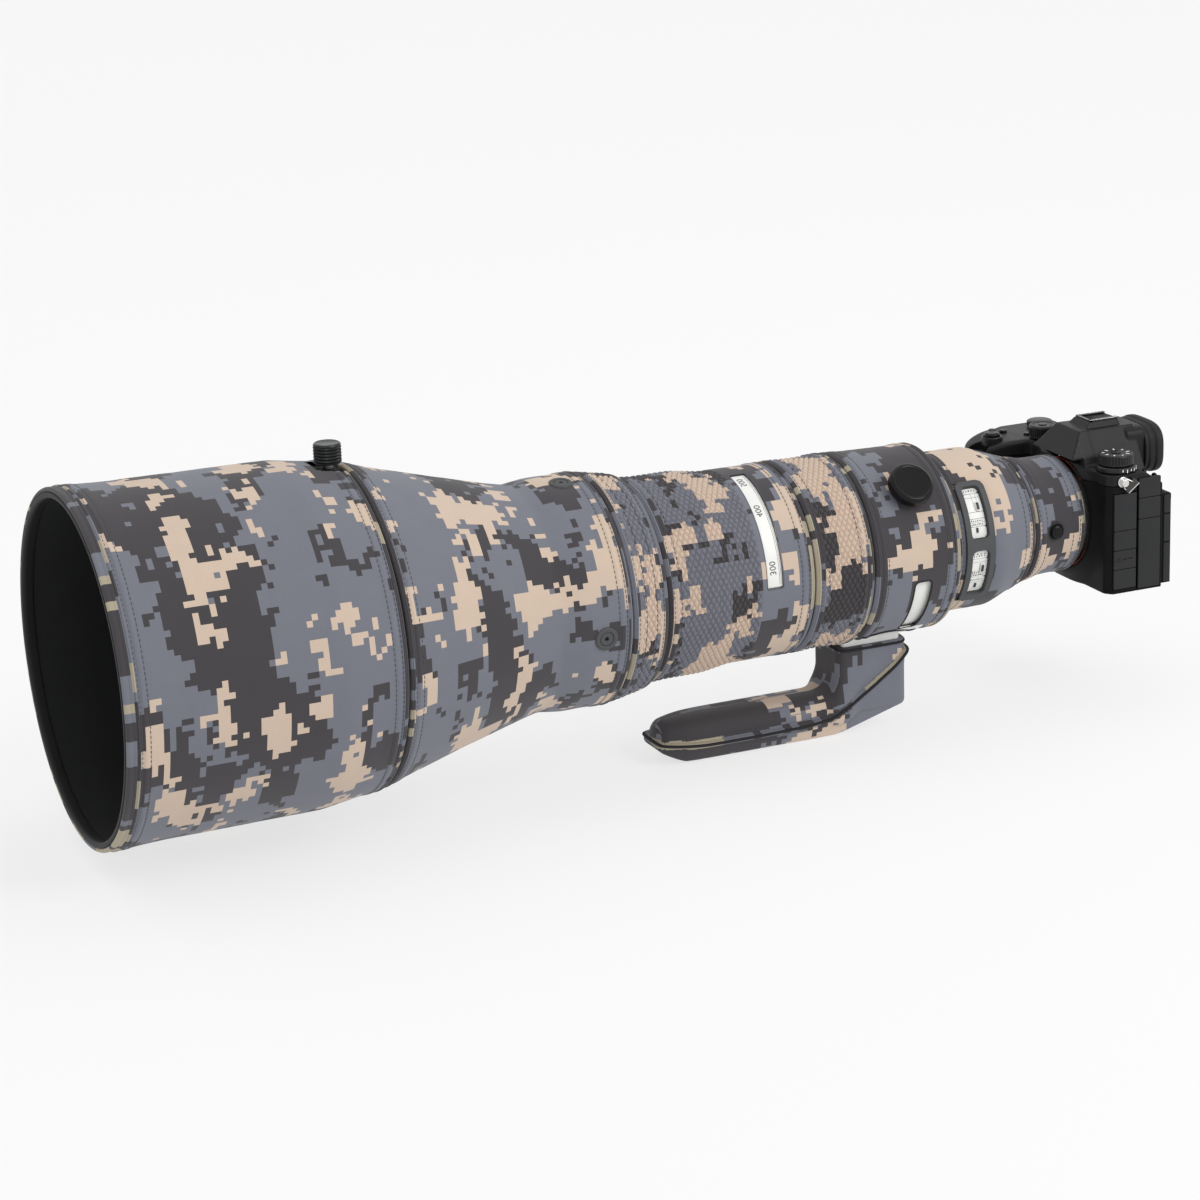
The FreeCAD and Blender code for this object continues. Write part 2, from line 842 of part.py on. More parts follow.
def collar_lock_knob():
    """The large knob that clamps the collar."""
    profile = [
        (size.collar_stem_base, 0),
        (size.collar_stem_base, size.collar_stem_radius),
        (size.collar_knob_base, size.collar_stem_radius),
        (size.collar_knob_base, size.collar_knob_radius),
        (size.collar_knob_top - size.knob_bevel, size.collar_knob_radius),
        (size.collar_knob_top, size.collar_knob_radius - size.knob_bevel),
        (size.collar_knob_top, 0),
    ]
    frame = radial_frame(SIZES["collar_knob_distance"], SIZES["collar_knob_angle"])
    turned("collar_lock_knob", profile, frame)


def foot_shape(body, grow):
    """Plate and neck of the foot, optionally grown by the thickness of its cover."""
    half = size.foot_half_width + grow
    tip = size.foot_tip_half_width + grow
    rear = size.foot_plate_rear - grow
    front = size.foot_plate_front + grow
    shoulder = size.foot_plate_shoulder
    plate = [
        (rear, -half),
        (shoulder, -half),
        (front, -tip),
        (front, tip),
        (shoulder, half),
        (rear, half),
    ]
    pad(body, "XY_Plane", -size.axis_height, -size.foot_plate_top + grow, plate)
    neck = [
        (size.neck_rear - grow, -size.neck_root),
        (size.neck_rear - grow, -size.foot_plate_top - grow),
        (size.neck_rear + 6 - grow, -size.neck_heel - grow),
        (size.neck_front + 1, -size.axis_height),
        (size.foot_plate_rear + 3, -size.axis_height),
        (size.foot_plate_rear + 3, -size.foot_plate_top + grow),
        (size.neck_front + grow, -size.foot_plate_top + 10),
        (size.neck_front + grow, -size.neck_waist),
        (size.collar_front - 0.4, -size.neck_throat),
        (size.collar_front - 0.4, -size.neck_root),
    ]
    pad(body, "XZ_Plane", -half, half, neck)
    lift = [
        (size.foot_plate_front + grow + 1, -size.axis_height - 1),
        (size.foot_plate_front + grow + 1, -size.foot_tip_bottom - grow),
        (size.foot_plate_front + grow, -size.foot_tip_bottom - grow),
        (size.foot_plate_shoulder, -size.axis_height),
        (size.foot_plate_shoulder, -size.axis_height - 1),
    ]
    pocket(body, "XZ_Plane", -half - 1, half + 1, lift)


def collar_relief(body, reach):
    """Cut the foot's top to the round of the collar ring."""
    line = box(size.neck_rear - 10, size.neck_front + 10, 0, reach)
    turn_cut(body, line, 0.0, 360.0)


def tripod_foot():
    """The forward foot with two threaded sockets of each size."""
    body = new_body("tripod_foot", lens_frame())
    foot_shape(body, as_length(0))
    collar_relief(body, size.collar_radius - size.skin)
    small = (size.small_socket_radius, size.small_socket_depth)
    large = (size.large_socket_radius, size.large_socket_depth)
    for offset, (radius, depth) in ((-1, small), (0, large), (1, small)):
        spot = size.socket_distance + size.socket_pitch * offset
        sketch = sketch_on(body, "XY_Plane", -size.axis_height)
        circle(sketch, spot, 0, radius)
        socket = linear_feature(body, "PartDesign::Pocket", sketch, depth)
        socket.Reversed = True


def foot_cover():
    """The soft cover over the foot's top and sides, open underneath."""
    outer = document.addObject("PartDesign::Body", "foot_cover_outer")
    inner = document.addObject("PartDesign::Body", "foot_cover_inner")
    foot_shape(outer, size.foot_wall)
    foot_shape(inner, size.snug)
    collar_relief(outer, size.collar_radius + size.snug)
    slab = box(size.neck_rear - 10, size.foot_plate_front + 10, -size.collar_radius, size.collar_radius)
    pocket(outer, "XY_Plane", -size.axis_height - 1, -size.axis_height + size.foot_hem, slab)
    cover = document.addObject("Part::Cut", "foot_cover")
    cover.Base = outer
    cover.Tool = inner
    cover.Placement = lens_frame()
    PARTS.append(cover)


# -------------------------------------------------------------------- hood

def hood_shell():
    """The stiff hood, with the collar that seats on the front barrel."""
    outer = under_sleeve(HOOD_LINE)[:-1]
    last = (size.hood_lip_rear, size.hood_flare_radius + 1 - size.skin - size.snug)
    inner = [
        (size.hood_lip_rear, size.hood_flare_radius + 1 - size.skin - size.hood_wall),
        (size.hood_flare, size.hood_flare_radius - size.skin - size.hood_wall),
        (size.hood_shoulder + 4, size.hood_shoulder_radius - size.skin - size.hood_wall),
        (size.hood_seat_front, size.hood_seat_radius),
        (size.hood_rear, size.hood_seat_radius),
    ]
    turned("hood_shell", outer + [last] + inner, lens_frame())


def hood_lip():
    """The rubber bumper round the hood's mouth."""
    edge = size.hood_front_radius
    profile = [
        (size.hood_lip_rear + 0.1, size.hood_lip_bore),
        (size.hood_front, size.hood_lip_bore),
        (size.hood_front, edge - 1),
        (size.hood_front - 1, edge),
        (size.hood_cover_front + 0.3, edge),
        (size.hood_cover_front + 0.3, size.hood_flare_radius + 1 - size.skin),
        (size.hood_lip_rear + 0.1, size.hood_flare_radius + 1 - size.skin),
    ]
    turned("hood_lip", profile, lens_frame())


def hood_lock_knob():
    """The knurled knob that locks the hood."""
    profile = [
        (size.hood_stem_base, 0),
        (size.hood_stem_base, size.hood_stem_radius),
        (size.hood_knob_base, size.hood_stem_radius),
        (size.hood_knob_base, size.hood_knob_radius),
        (size.hood_knob_top - 1, size.hood_knob_radius),
        (size.hood_knob_top, size.hood_knob_radius - 1),
        (size.hood_knob_top, 0),
    ]
    turned("hood_lock_knob", profile, radial_frame(SIZES["hood_knob_distance"], 90.0))


# ------------------------------------------------------------- camera body

def grip_outline(rear):
    """Plan of the grip, from its rear line round the front."""
    right = -size.body_right
    return [
        (right, rear),
        (right, -size.grip_front * 0.5),
        (right + 4, -size.grip_front * 0.83),
        (right + 12, -size.grip_front),
        (right + 22, -size.grip_front),
        (right + 30, -size.grip_front * 0.83),
        (-size.grip_inner, -size.grip_front * 0.4),
        (-size.grip_inner + 3, size.body_front),
        (-size.grip_inner + 3, rear),
    ]


def front_cover():
    """Front shell: the face round the mount, the port side and the grip."""
    body = new_body("front_cover", camera_frame())
    rear = size.body_split - size.seam
    side = box(-size.body_right, size.body_left, size.body_front, rear)
    pad(body, "XY_Plane", -size.body_bottom, size.side_top, side)
    pad(body, "XY_Plane", -size.body_bottom + size.seam, size.side_top - size.seam, grip_outline(rear))
    wall = size.body_wall
    hollow = box(-size.grip_inner - 5, size.body_left - wall - 1, size.body_front + wall, rear + 1)
    pocket(body, "XY_Plane", -size.body_bottom + wall, size.side_top + 1, hollow)
    bay = box(
        size.battery_right - size.battery_clearance,
        size.battery_left + size.battery_clearance,
        size.battery_front - size.battery_clearance,
        size.battery_rear + size.battery_clearance,
    )
    pocket(body, "XY_Plane", -size.body_bottom - 1, size.battery_top + size.battery_clearance, bay)
    round_pocket(body, "XZ_Plane", size.body_front - 1, size.body_front + wall + 1, (0, 0), size.throat_radius)
    spot = (0, size.base_socket_back)
    bottom = -size.body_bottom
    round_pad(body, "XY_Plane", bottom, bottom + size.base_socket_depth + 1, spot, size.base_boss_radius)
    round_pocket(body, "XY_Plane", bottom - 1, bottom + size.base_socket_depth, spot, size.small_socket_radius)
    recess = box(
        size.front_door_front - size.running_gap,
        size.front_door_rear + size.running_gap,
        size.front_door_bottom - size.running_gap,
        size.front_door_top + size.running_gap,
    )
    pocket(body, "YZ_Plane", size.body_left - size.door_depth, size.body_left + 1, recess)
    release = (size.release_x, size.release_height)
    round_pocket(body, "XZ_Plane", size.body_front - 1, size.body_front + wall - 1, release, size.release_radius + 0.5)
    dial = (size.shutter_x, size.front_dial_back)
    dial_hole = size.front_dial_radius + size.running_gap
    round_pocket(body, "XY_Plane", size.front_dial_base - 0.5, size.side_top + 1, dial, dial_hole)


def rear_cover():
    """Rear shell behind the port side and under the screen, with the screen's two hinge ears."""
    body = new_body("rear_cover", camera_frame())
    wall = size.body_wall
    side = box(-size.body_right, size.body_left, size.body_split, size.body_rear)
    pad(body, "XY_Plane", -size.body_bottom, size.side_top, side)
    hollow = box(
        -size.body_right + wall,
        size.body_left - wall - 1,
        -size.body_bottom + wall,
        size.side_top - wall,
    )
    pocket(body, "XZ_Plane", size.body_split - 1, size.body_rear - wall, hollow)
    recess = box(
        size.rear_door_front - size.running_gap,
        size.rear_door_rear + size.running_gap,
        size.rear_door_bottom - size.running_gap,
        size.rear_door_top + size.running_gap,
    )
    pocket(body, "YZ_Plane", size.body_left - size.door_depth, size.body_left + 1, recess)
    hinge = (size.screen_hinge_back, size.screen_hinge_height)
    ear = box(
        size.body_rear - 1,
        size.screen_hinge_back,
        size.screen_hinge_height - size.screen_hinge_radius,
        size.screen_hinge_height + size.screen_hinge_radius,
    )
    for right in (size.screen_ear_right, size.screen_ear_left):
        left = right + size.screen_ear_width
        pad(body, "YZ_Plane", right, left, ear)
        round_pad(body, "YZ_Plane", right, left, hinge, size.screen_hinge_radius)
        round_pad(body, "YZ_Plane", right - 2, left + 2, hinge, size.screen_pin_radius)


def top_cover():
    """Top shell with the finder hump and the sloping top of the grip."""
    body = new_body("top_cover", camera_frame())
    base = size.side_top + size.seam
    plan = box(-size.body_right, size.body_left, size.body_front, size.body_rear)
    pad(body, "XY_Plane", base, size.shoulder, plan)
    right = box(-size.body_right, -size.hump_base_right, size.body_front, size.body_rear)
    pad(body, "XY_Plane", base, size.grip_shoulder, right)
    pad(body, "XY_Plane", base, size.grip_shoulder, grip_outline(size.body_rear))
    hump = [
        (-size.hump_base_right, size.shoulder - 1),
        (size.hump_base_left, size.shoulder - 1),
        (size.hump_top_left, size.hump_top),
        (-size.hump_top_right, size.hump_top),
    ]
    pad(body, "XZ_Plane", size.body_front, size.hump_back, hump)
    face = [
        (size.body_front - 1, size.grip_shoulder),
        (size.body_front, size.grip_shoulder),
        (size.hump_slope_back, size.hump_top + 0.5),
        (size.body_front - 1, size.hump_top + 0.5),
    ]
    pocket(body, "YZ_Plane", -size.hump_base_right, size.hump_base_left, face)
    slope = [
        (-size.grip_front - 1, size.shoulder - 4),
        (-size.grip_front * 0.3, size.grip_shoulder),
        (-size.grip_front * 0.3, size.grip_shoulder + 2),
        (-size.grip_front - 1, size.grip_shoulder + 2),
    ]
    pocket(body, "YZ_Plane", -size.body_right - 1, -size.grip_inner + 4, slope)
    throat = size.throat_radius
    round_pocket(body, "XZ_Plane", size.body_front - 1, size.body_ring_rear + 1, (0, 0), throat)
    button = (size.shutter_x, size.shutter_back)
    button_hole = size.shutter_radius + size.running_gap
    round_pocket(body, "XY_Plane", size.side_top + 3, size.grip_shoulder + 1, button, button_hole)
    dial = (size.shutter_x, size.front_dial_back)
    dial_hole = size.front_dial_radius + size.running_gap
    round_pocket(body, "XY_Plane", size.side_top - 1, size.front_dial_top + size.running_gap, dial, dial_hole)


def body_mount_ring():
    """The camera's steel bayonet ring, with three gaps for the lens lugs."""
    lip = size.body_ring_lip
    profile = [
        (-size.body_ring_front, size.body_ring_bore),
        (-size.body_ring_front, size.body_ring_radius),
        (-size.body_ring_rear, size.body_ring_radius),
        (-size.body_ring_rear, size.body_ring_groove),
        (-lip, size.body_ring_groove),
        (-lip, size.body_ring_bore),
    ]
    body = turned("body_mount_ring", profile, lens_frame())
    gap = box(-lip - 1, -size.body_ring_front + 1, size.body_ring_bore - 1, size.body_ring_groove)
    for middle in (30.0, 150.0, 270.0):
        turn_cut(body, gap, middle, 50.0)


def mount_trim_ring():
    """The coloured trim round the camera's mount."""
    profile = box(-size.body_front + 0.1, -size.trim_front, size.body_ring_radius + 0.1, size.trim_radius)
    turned("mount_trim_ring", profile, lens_frame())


def image_sensor():
    """The image sensor on its carrier, behind the mount."""
    body = new_body("image_sensor", camera_frame())
    half = size.sensor_half_width
    tall = size.sensor_half_height
    pad(body, "XZ_Plane", size.sensor_front, size.sensor_rear, box(-half, half, -tall, tall))


def main_board():
    """The circuit board behind the sensor."""
    body = new_body("main_board", camera_frame())
    plan = box(-size.grip_inner, size.sensor_half_width + 12, -size.body_bottom + 8, size.shoulder - 15)
    pad(body, "XZ_Plane", size.board_front, size.board_rear, plan)


def battery():
    """The battery pack in the grip."""
    body = new_body("battery", camera_frame())
    plan = box(size.battery_right, size.battery_left, size.battery_front, size.battery_rear)
    pad(body, "XY_Plane", size.battery_bottom, size.battery_top, plan)


def battery_door():
    """The door under the grip that closes the battery bay, with its hinge barrel."""
    body = new_body("battery_door", camera_frame())
    bottom = -size.body_bottom
    radius = size.battery_door_thick * 0.5
    hinge = (size.battery_left - radius, bottom + radius)
    plan = box(size.battery_right, hinge[0], size.battery_front, size.battery_rear)
    pad(body, "XY_Plane", bottom, bottom + size.battery_door_thick, plan)
    round_pad(body, "XZ_Plane", size.battery_front, size.battery_rear, hinge, radius)


def hot_shoe():
    """The accessory shoe on the finder hump."""
    body = new_body("hot_shoe", camera_frame())
    shoe = [
        (-size.shoe_half, size.hump_top + 0.1),
        (size.shoe_half, size.hump_top + 0.1),
        (size.shoe_half, size.shoe_top),
        (size.shoe_lip_half, size.shoe_top),
        (size.shoe_lip_half, size.shoe_ceiling),
        (size.shoe_slot_half, size.shoe_ceiling),
        (size.shoe_slot_half, size.shoe_floor),
        (-size.shoe_slot_half, size.shoe_floor),
        (-size.shoe_slot_half, size.shoe_ceiling),
        (-size.shoe_lip_half, size.shoe_ceiling),
        (-size.shoe_lip_half, size.shoe_top),
        (-size.shoe_half, size.shoe_top),
    ]
    pad(body, "XZ_Plane", size.shoe_front, size.shoe_rear, shoe)


def eyepiece():
    """The finder's eyepiece lens in its round housing."""
    profile = [
        (size.hump_back + 0.1, 0),
        (size.hump_back + 0.1, size.eyepiece_radius),
        (size.eyepiece_rear, size.eyepiece_radius),
        (size.eyepiece_rear, 0),
    ]
    turned("eyepiece", profile, turned_frame(0, 0, SIZES["eye_height"], (0, 1, 0)))


def eyecup():
    """The deep rubber eyecup."""
    profile = [
        (size.eyecup_front, size.eyecup_bore),
        (size.eyecup_front, size.eyecup_neck),
        (size.eyecup_waist, size.eyecup_neck),
        (size.eyecup_waist + 4, size.eyecup_rim - 0.5),
        (size.eyecup_rear - 2, size.eyecup_rim),
        (size.eyecup_rear, size.eyecup_rim - 2),
        (size.eyecup_rear, size.eyecup_rim - 4),
        (size.eyecup_waist + 5, size.eyecup_bore),
    ]
    turned("eyecup", profile, turned_frame(0, 0, SIZES["eye_height"], (0, 1, 0)))


def dial(label, x, back, base, top, radius):
    """A dial or button that turns about a vertical axis."""
    bevel = 0.6
    profile = [
        (base, 0),
        (base, radius),
        (top - bevel, radius),
        (top, radius - bevel),
        (top, 0),
    ]
    turned(label, profile, turned_frame(SIZES[x], SIZES[back], 0, (0, 0, 1)))


def monitor_arm():
    """The thin frame that carries the screen."""
    body = new_body("monitor_arm", camera_frame())
    low, high = -size.monitor_bottom + 3, size.screen_hinge_height - 2
    plan = box(-size.monitor_right + 4, size.monitor_left - 4, low, high)
    pad(body, "XZ_Plane", size.arm_front, size.arm_rear, plan)


def monitor():
    """The rear screen, hinged along its round upper edge."""
    body = new_body("monitor", camera_frame())
    radius = size.screen_hinge_radius
    hinge = (size.screen_hinge_back, size.screen_hinge_height)
    side = [
        (size.monitor_front, -size.monitor_bottom),
        (size.monitor_rear, -size.monitor_bottom),
        (size.monitor_rear, size.screen_hinge_height),
        (size.screen_hinge_back, size.monitor_top),
        (size.monitor_front, size.monitor_top),
    ]
    pad(body, "YZ_Plane", -size.monitor_right, size.monitor_left, side)
    round_pad(body, "YZ_Plane", -size.monitor_right, size.monitor_left, hinge, radius)
    for right in (size.screen_ear_right, size.screen_ear_left):
        slot = (right - 0.3, right + size.screen_ear_width + 0.3)
        notch = box(
            size.monitor_front - 1,
            size.monitor_rear + 1,
            size.screen_hinge_height - radius - 0.6,
            size.monitor_top + 1,
        )
        pocket(body, "YZ_Plane", slot[0], slot[1], notch)
        bore = size.screen_pin_radius + 0.1
        round_pocket(body, "YZ_Plane", right - 2.2, right + size.screen_ear_width + 2.2, hinge, bore)


def control_wheel():
    """The wheel beside the screen."""
    profile = box(size.wheel_front, size.wheel_rear, 0, size.wheel_radius)
    frame = turned_frame(SIZES["wheel_x"], 0, SIZES["wheel_height"], (0, 1, 0))
    turned("control_wheel", profile, frame)


def port_door(label, hinged_edge, free_edge, bottom, top):
    """A rubber door over the sockets on the port side, with its hinge barrel at one edge."""
    body = new_body(label, camera_frame())
    inner = size.body_left - size.door_depth + 0.3
    radius = (size.door_face - inner) * 0.5
    inward = 1.0 if free_edge.number > hinged_edge.number else -1.0
    middle = hinged_edge + radius * inward
    plan = box(inner, size.door_face, middle, free_edge) if inward > 0 else box(inner, size.door_face, free_edge, middle)
    pad(body, "XY_Plane", bottom, top, plan)
    round_pad(body, "XY_Plane", bottom, top, (inner + radius, middle), radius)


def lens_release():
    """The round lens release button beside the mount."""
    profile = box(-size.release_base, -size.release_top, 0, size.release_radius)
    frame = turned_frame(SIZES["release_x"], 0, SIZES["release_height"], (0, -1, 0))
    turned("lens_release", profile, frame)


def strap_lugs():
    """The two strap lugs, one on each side."""
    body = new_body("strap_lugs", camera_frame())
    back = size.lug_back
    height = size.lug_height
    for inner, outer in ((size.body_left + 0.1, size.lug_x), (-size.lug_x - 28, -size.body_right - 0.1)):
        round_pad(body, "YZ_Plane", inner, outer, (back, height), 3.4)


def strap_rings():
    """The ring and leather tab that hang from each strap lug."""
    body = new_body("strap_rings", camera_frame())
    tab = [
        (size.lug_back + 3.6, size.lug_height - 3.6),
        (size.lug_back + 4.2, size.lug_height + 2.6),
        (size.lug_back + 13, size.lug_height - 1.6),
        (size.lug_back + 11.6, size.lug_height - 6.4),
    ]
    pad(body, "YZ_Plane", size.door_face + 0.4, size.door_face + 2.4, tab)
    pad(body, "YZ_Plane", -size.body_right - 2.6, -size.body_right - 0.6, tab)


def build_all():
    """Make every sub-part."""
    collar_ring()
    tripod_foot()
    collar_cover()
    foot_cover()
    collar_lock_knob()
    lens_mount()
    main_barrel()
    front_barrel()
    front_ring()
    front_element()
    rear_element()
    switch_panel()
    switch_bezel()
    mount_cover()
    rear_barrel_cover()
    front_barrel_cover()
    function_ring()
    function_ring_cover()
    zoom_ring()
    zoom_ring_cover()
    zoom_group()
    focus_ring()
    focus_ring_cover()
    for name, angle in zip(("port", "top", "grip", "under"), HOLD_ANGLES):
        hold_button(f"hold_button_{name}", angle)
    lens_switch("upper_switch", 31.0)
    lens_switch("lower_switch", -14.0)
    mount_button()
    hood_shell()
    hood_lip()
    hood_cover()
    hood_lock_knob()
    front_cover()
    rear_cover()
    top_cover()
    body_mount_ring()
    mount_trim_ring()
    image_sensor()
    main_board()
    battery()
    battery_door()
    hot_shoe()
    eyepiece()
    eyecup()
    strap_lugs()
    strap_rings()
    monitor_arm()
    monitor()
    control_wheel()
    lens_release()
    dial("focus_mode_dial", "dial_x", "dial_back", size.shoulder + 0.4, size.focus_dial_top, size.focus_dial_radius)
    dial("drive_dial", "dial_x", "dial_back", size.drive_dial_base, size.drive_dial_top, size.drive_dial_radius)
    dial("mode_dial", "mode_dial_x", "mode_dial_back", size.mode_dial_base, size.mode_dial_top, size.mode_dial_radius)
    dial(
        "exposure_dial",
        "exposure_dial_x",
        "exposure_dial_back",
        size.exposure_dial_base,
        size.exposure_dial_top,
        size.exposure_dial_radius,
    )
    dial(
        "shutter_button",
        "shutter_x",
        "shutter_back",
        size.shutter_base - 5,
        size.shutter_top,
        size.shutter_radius,
    )
    dial(
        "front_dial",
        "shutter_x",
        "front_dial_back",
        size.front_dial_base,
        size.front_dial_top,
        size.front_dial_radius,
    )
    port_door(
        "front_port_door",
        size.front_door_front,
        size.front_door_rear,
        size.front_door_bottom,
        size.front_door_top,
    )
    port_door(
        "rear_port_door",
        size.rear_door_rear,
        size.rear_door_front,
        size.rear_door_bottom,
        size.rear_door_top,
    )


def check_and_write():
    """Stop on any bad feature, then write one file per sub-part."""
    for item in document.Objects:
        if "Invalid" in item.State or "Error" in item.State:
            raise RuntimeError(f"{item.Label} did not build: {item.State}")
        if item.TypeId in ("PartDesign::Pocket", "PartDesign::Groove"):
            if item.Shape.Volume >= item.BaseFeature.Shape.Volume - 0.01:
                raise RuntimeError(f"{item.Label} cuts nothing")
    for part in PARTS:
        if part.Shape.isNull() or not part.Shape.isValid():
            raise RuntimeError(f"{part.Label} has no valid shape")
        part.Shape.exportStep(f"parts/{part.Label}.step")
        limits = part.Shape.BoundBox
        print(part.Label, len(part.Shape.Solids), round(part.Shape.Volume / 1000, 1),
              [round(value, 1) for value in (limits.XMin, limits.XMax, limits.YMin,
                                             limits.YMax, limits.ZMin, limits.ZMax)])


build_all()
document.recompute()
check_and_write()
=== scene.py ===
import bmesh
import bpy
import json
import math
import numpy as np
from mathutils import Matrix, Vector, noise


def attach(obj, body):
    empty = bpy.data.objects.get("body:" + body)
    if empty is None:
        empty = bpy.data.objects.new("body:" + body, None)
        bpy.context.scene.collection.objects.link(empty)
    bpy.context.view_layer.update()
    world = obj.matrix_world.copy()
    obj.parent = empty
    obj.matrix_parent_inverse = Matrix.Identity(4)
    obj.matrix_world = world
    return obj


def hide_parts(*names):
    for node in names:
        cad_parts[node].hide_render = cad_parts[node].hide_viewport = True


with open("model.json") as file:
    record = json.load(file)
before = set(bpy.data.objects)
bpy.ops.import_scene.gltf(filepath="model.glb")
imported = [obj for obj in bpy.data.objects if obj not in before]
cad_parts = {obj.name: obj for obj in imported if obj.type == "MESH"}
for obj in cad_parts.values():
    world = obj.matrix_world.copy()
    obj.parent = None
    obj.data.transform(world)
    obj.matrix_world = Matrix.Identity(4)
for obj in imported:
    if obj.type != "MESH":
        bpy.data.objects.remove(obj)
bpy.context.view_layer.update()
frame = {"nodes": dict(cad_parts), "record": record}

# ------------------------------------------------------------------ frame
# Lengths in this file are millimetres along the lens from the mount flange
# ("distance"), round the lens in degrees from +X towards +Z ("angle"), and in
# camera coordinates (x, back, up) from the flange on the optical axis.

MM = 0.001
JOINTS = {joint["name"]: joint for joint in frame["record"]["behaviour"]["joints"]}
AXIS_POINT = Vector(JOINTS["zoom_turn"]["pos_m"])
UP = Vector((0, 0, 1))
FORWARD = Vector((0, -1, 0))
PORT = Vector((1, 0, 0))


def lens_point(distance, angle, radius):
    """A point round the lens, in metres."""
    turn = math.radians(angle)
    return AXIS_POINT + Vector((math.cos(turn) * radius, -distance, math.sin(turn) * radius)) * MM


def lens_outward(angle):
    """The direction straight out from the optical axis at an angle."""
    turn = math.radians(angle)
    return Vector((math.cos(turn), 0, math.sin(turn)))


def camera_point(x, back, up):
    """A point in camera coordinates, in metres."""
    return AXIS_POINT + Vector((x, back, up)) * MM


# -------------------------------------------------------------- materials

def new_material(name):
    """A node material and its shader."""
    material = bpy.data.materials.new(name)
    material.use_nodes = True
    shader = material.node_tree.nodes["Principled BSDF"]
    return material, shader


class Graph:
    """Short calls for adding shader nodes."""

    def __init__(self, material):
        self.tree = material.node_tree
        self.shader = self.tree.nodes["Principled BSDF"]

    def add(self, kind, **settings):
        node = self.tree.nodes.new(kind)
        for key, value in settings.items():
            setattr(node, key, value)
        return node

    def link(self, source, target):
        self.tree.links.new(source, target)

    def feed(self, socket, value):
        if isinstance(value, bpy.types.NodeSocket):
            self.link(value, socket)
        else:
            socket.default_value = value

    def maths(self, operation, first, second=0.0):
        node = self.add("ShaderNodeMath", operation=operation)
        self.feed(node.inputs[0], first)
        self.feed(node.inputs[1], second)
        return node.outputs[0]

    def plus(self, first, second):
        return self.maths("ADD", first, second)

    def minus(self, first, second):
        return self.maths("SUBTRACT", first, second)

    def times(self, first, second):
        return self.maths("MULTIPLY", first, second)

    def between(self, value, low, high):
        """1 between two limits and 0 outside them."""
        return self.times(self.maths("GREATER_THAN", value, low), self.maths("LESS_THAN", value, high))

    def split(self, vector):
        """The parts of a vector."""
        node = self.add("ShaderNodeSeparateXYZ")
        self.link(vector, node.inputs[0])
        return node.outputs

    def vector(self, operation, first, second=(0.0, 0.0, 0.0)):
        node = self.add("ShaderNodeVectorMath", operation=operation)
        self.feed(node.inputs[0], first)
        self.feed(node.inputs[1], second)
        return node.outputs[0]

    def noise(self, vector, scale, detail=2.0, roughness=0.5, dimensions="3D"):
        node = self.add("ShaderNodeTexNoise", noise_dimensions=dimensions)
        self.feed(node.inputs["Vector"], vector)
        node.inputs["Scale"].default_value = scale
        node.inputs["Detail"].default_value = detail
        node.inputs["Roughness"].default_value = roughness
        return node.outputs["Fac"]

    def wave(self, vector, scale, direction):
        node = self.add("ShaderNodeTexWave", bands_direction=direction)
        self.feed(node.inputs["Vector"], vector)
        node.inputs["Scale"].default_value = scale
        return node.outputs["Fac"]

    def mix(self, factor, first, second):
        node = self.add("ShaderNodeMix", data_type="RGBA")
        self.feed(node.inputs["Factor"], factor)
        self.feed(node.inputs["A"], first)
        self.feed(node.inputs["B"], second)
        return node.outputs["Result"]

    def bump(self, height, strength, distance):
        node = self.add("ShaderNodeBump")
        node.inputs["Strength"].default_value = strength
        node.inputs["Distance"].default_value = distance
        self.link(height, node.inputs["Height"])
        self.link(node.outputs["Normal"], self.shader.inputs["Normal"])

    def constants(self, **values):
        """Fixed values on the shader; a socket's spaces are written as underscores."""
        for key, value in values.items():
            self.shader.inputs[key.replace("_", " ")].default_value = value


def scaled_colour(colour, share, lift=0.0):
    """A colour made darker or lighter, opaque."""
    return tuple(min(1.0, channel * share + lift) for channel in colour[:3]) + (1.0,)


SLATE = (0.144, 0.150, 0.180, 1.0)
CHARCOAL = (0.045, 0.041, 0.045, 1.0)
TAN = (0.52, 0.41, 0.325, 1.0)
OLIVE = (0.34, 0.30, 0.22, 1.0)
CLOTH_CELL = (3.4 * MM, 3.4 * MM, 1.0)
TAPE_CELL = (5.0 * MM, 20.0 * MM, 1.0)
DIAMOND_ACROSS, DIAMOND_ALONG = 6.4, 3.5


def printed_patches(graph, cloth, seed, tape, dark_at, pale_at, leans):
    """The stepped print: slate, with dark and pale patches and loose squares."""
    snapped = graph.vector("SNAP", cloth, TAPE_CELL if tape else CLOTH_CELL)
    centred = graph.vector("ADD", snapped, (seed * 0.37, seed * 0.21, seed * 1.7))
    broad = graph.vector("MULTIPLY", centred, (0.62, 1.0, 1.0))
    shade = graph.noise(broad, 27.0, 3.2, 0.58)
    light = graph.noise(graph.vector("ADD", broad, (3.1, 7.7, 1.3)), 36.0, 3.2, 0.60)
    specks = graph.noise(graph.vector("ADD", centred, (9.0, 2.0, 5.0)), 170.0, 0.0, 0.5)
    loose = graph.times(graph.minus(specks, 0.5), 0.14)
    parts = graph.split(snapped)
    for low, high, darker, paler in leans:
        here = graph.between(parts[1], low * MM, high * MM)
        shade = graph.plus(shade, graph.times(here, darker))
        light = graph.plus(light, graph.times(here, paler))
    dark = graph.maths("GREATER_THAN", graph.plus(shade, loose), dark_at)
    pale = graph.maths("GREATER_THAN", graph.plus(light, loose), pale_at)
    return graph.mix(pale, graph.mix(dark, SLATE, CHARCOAL), OLIVE if tape else TAN)


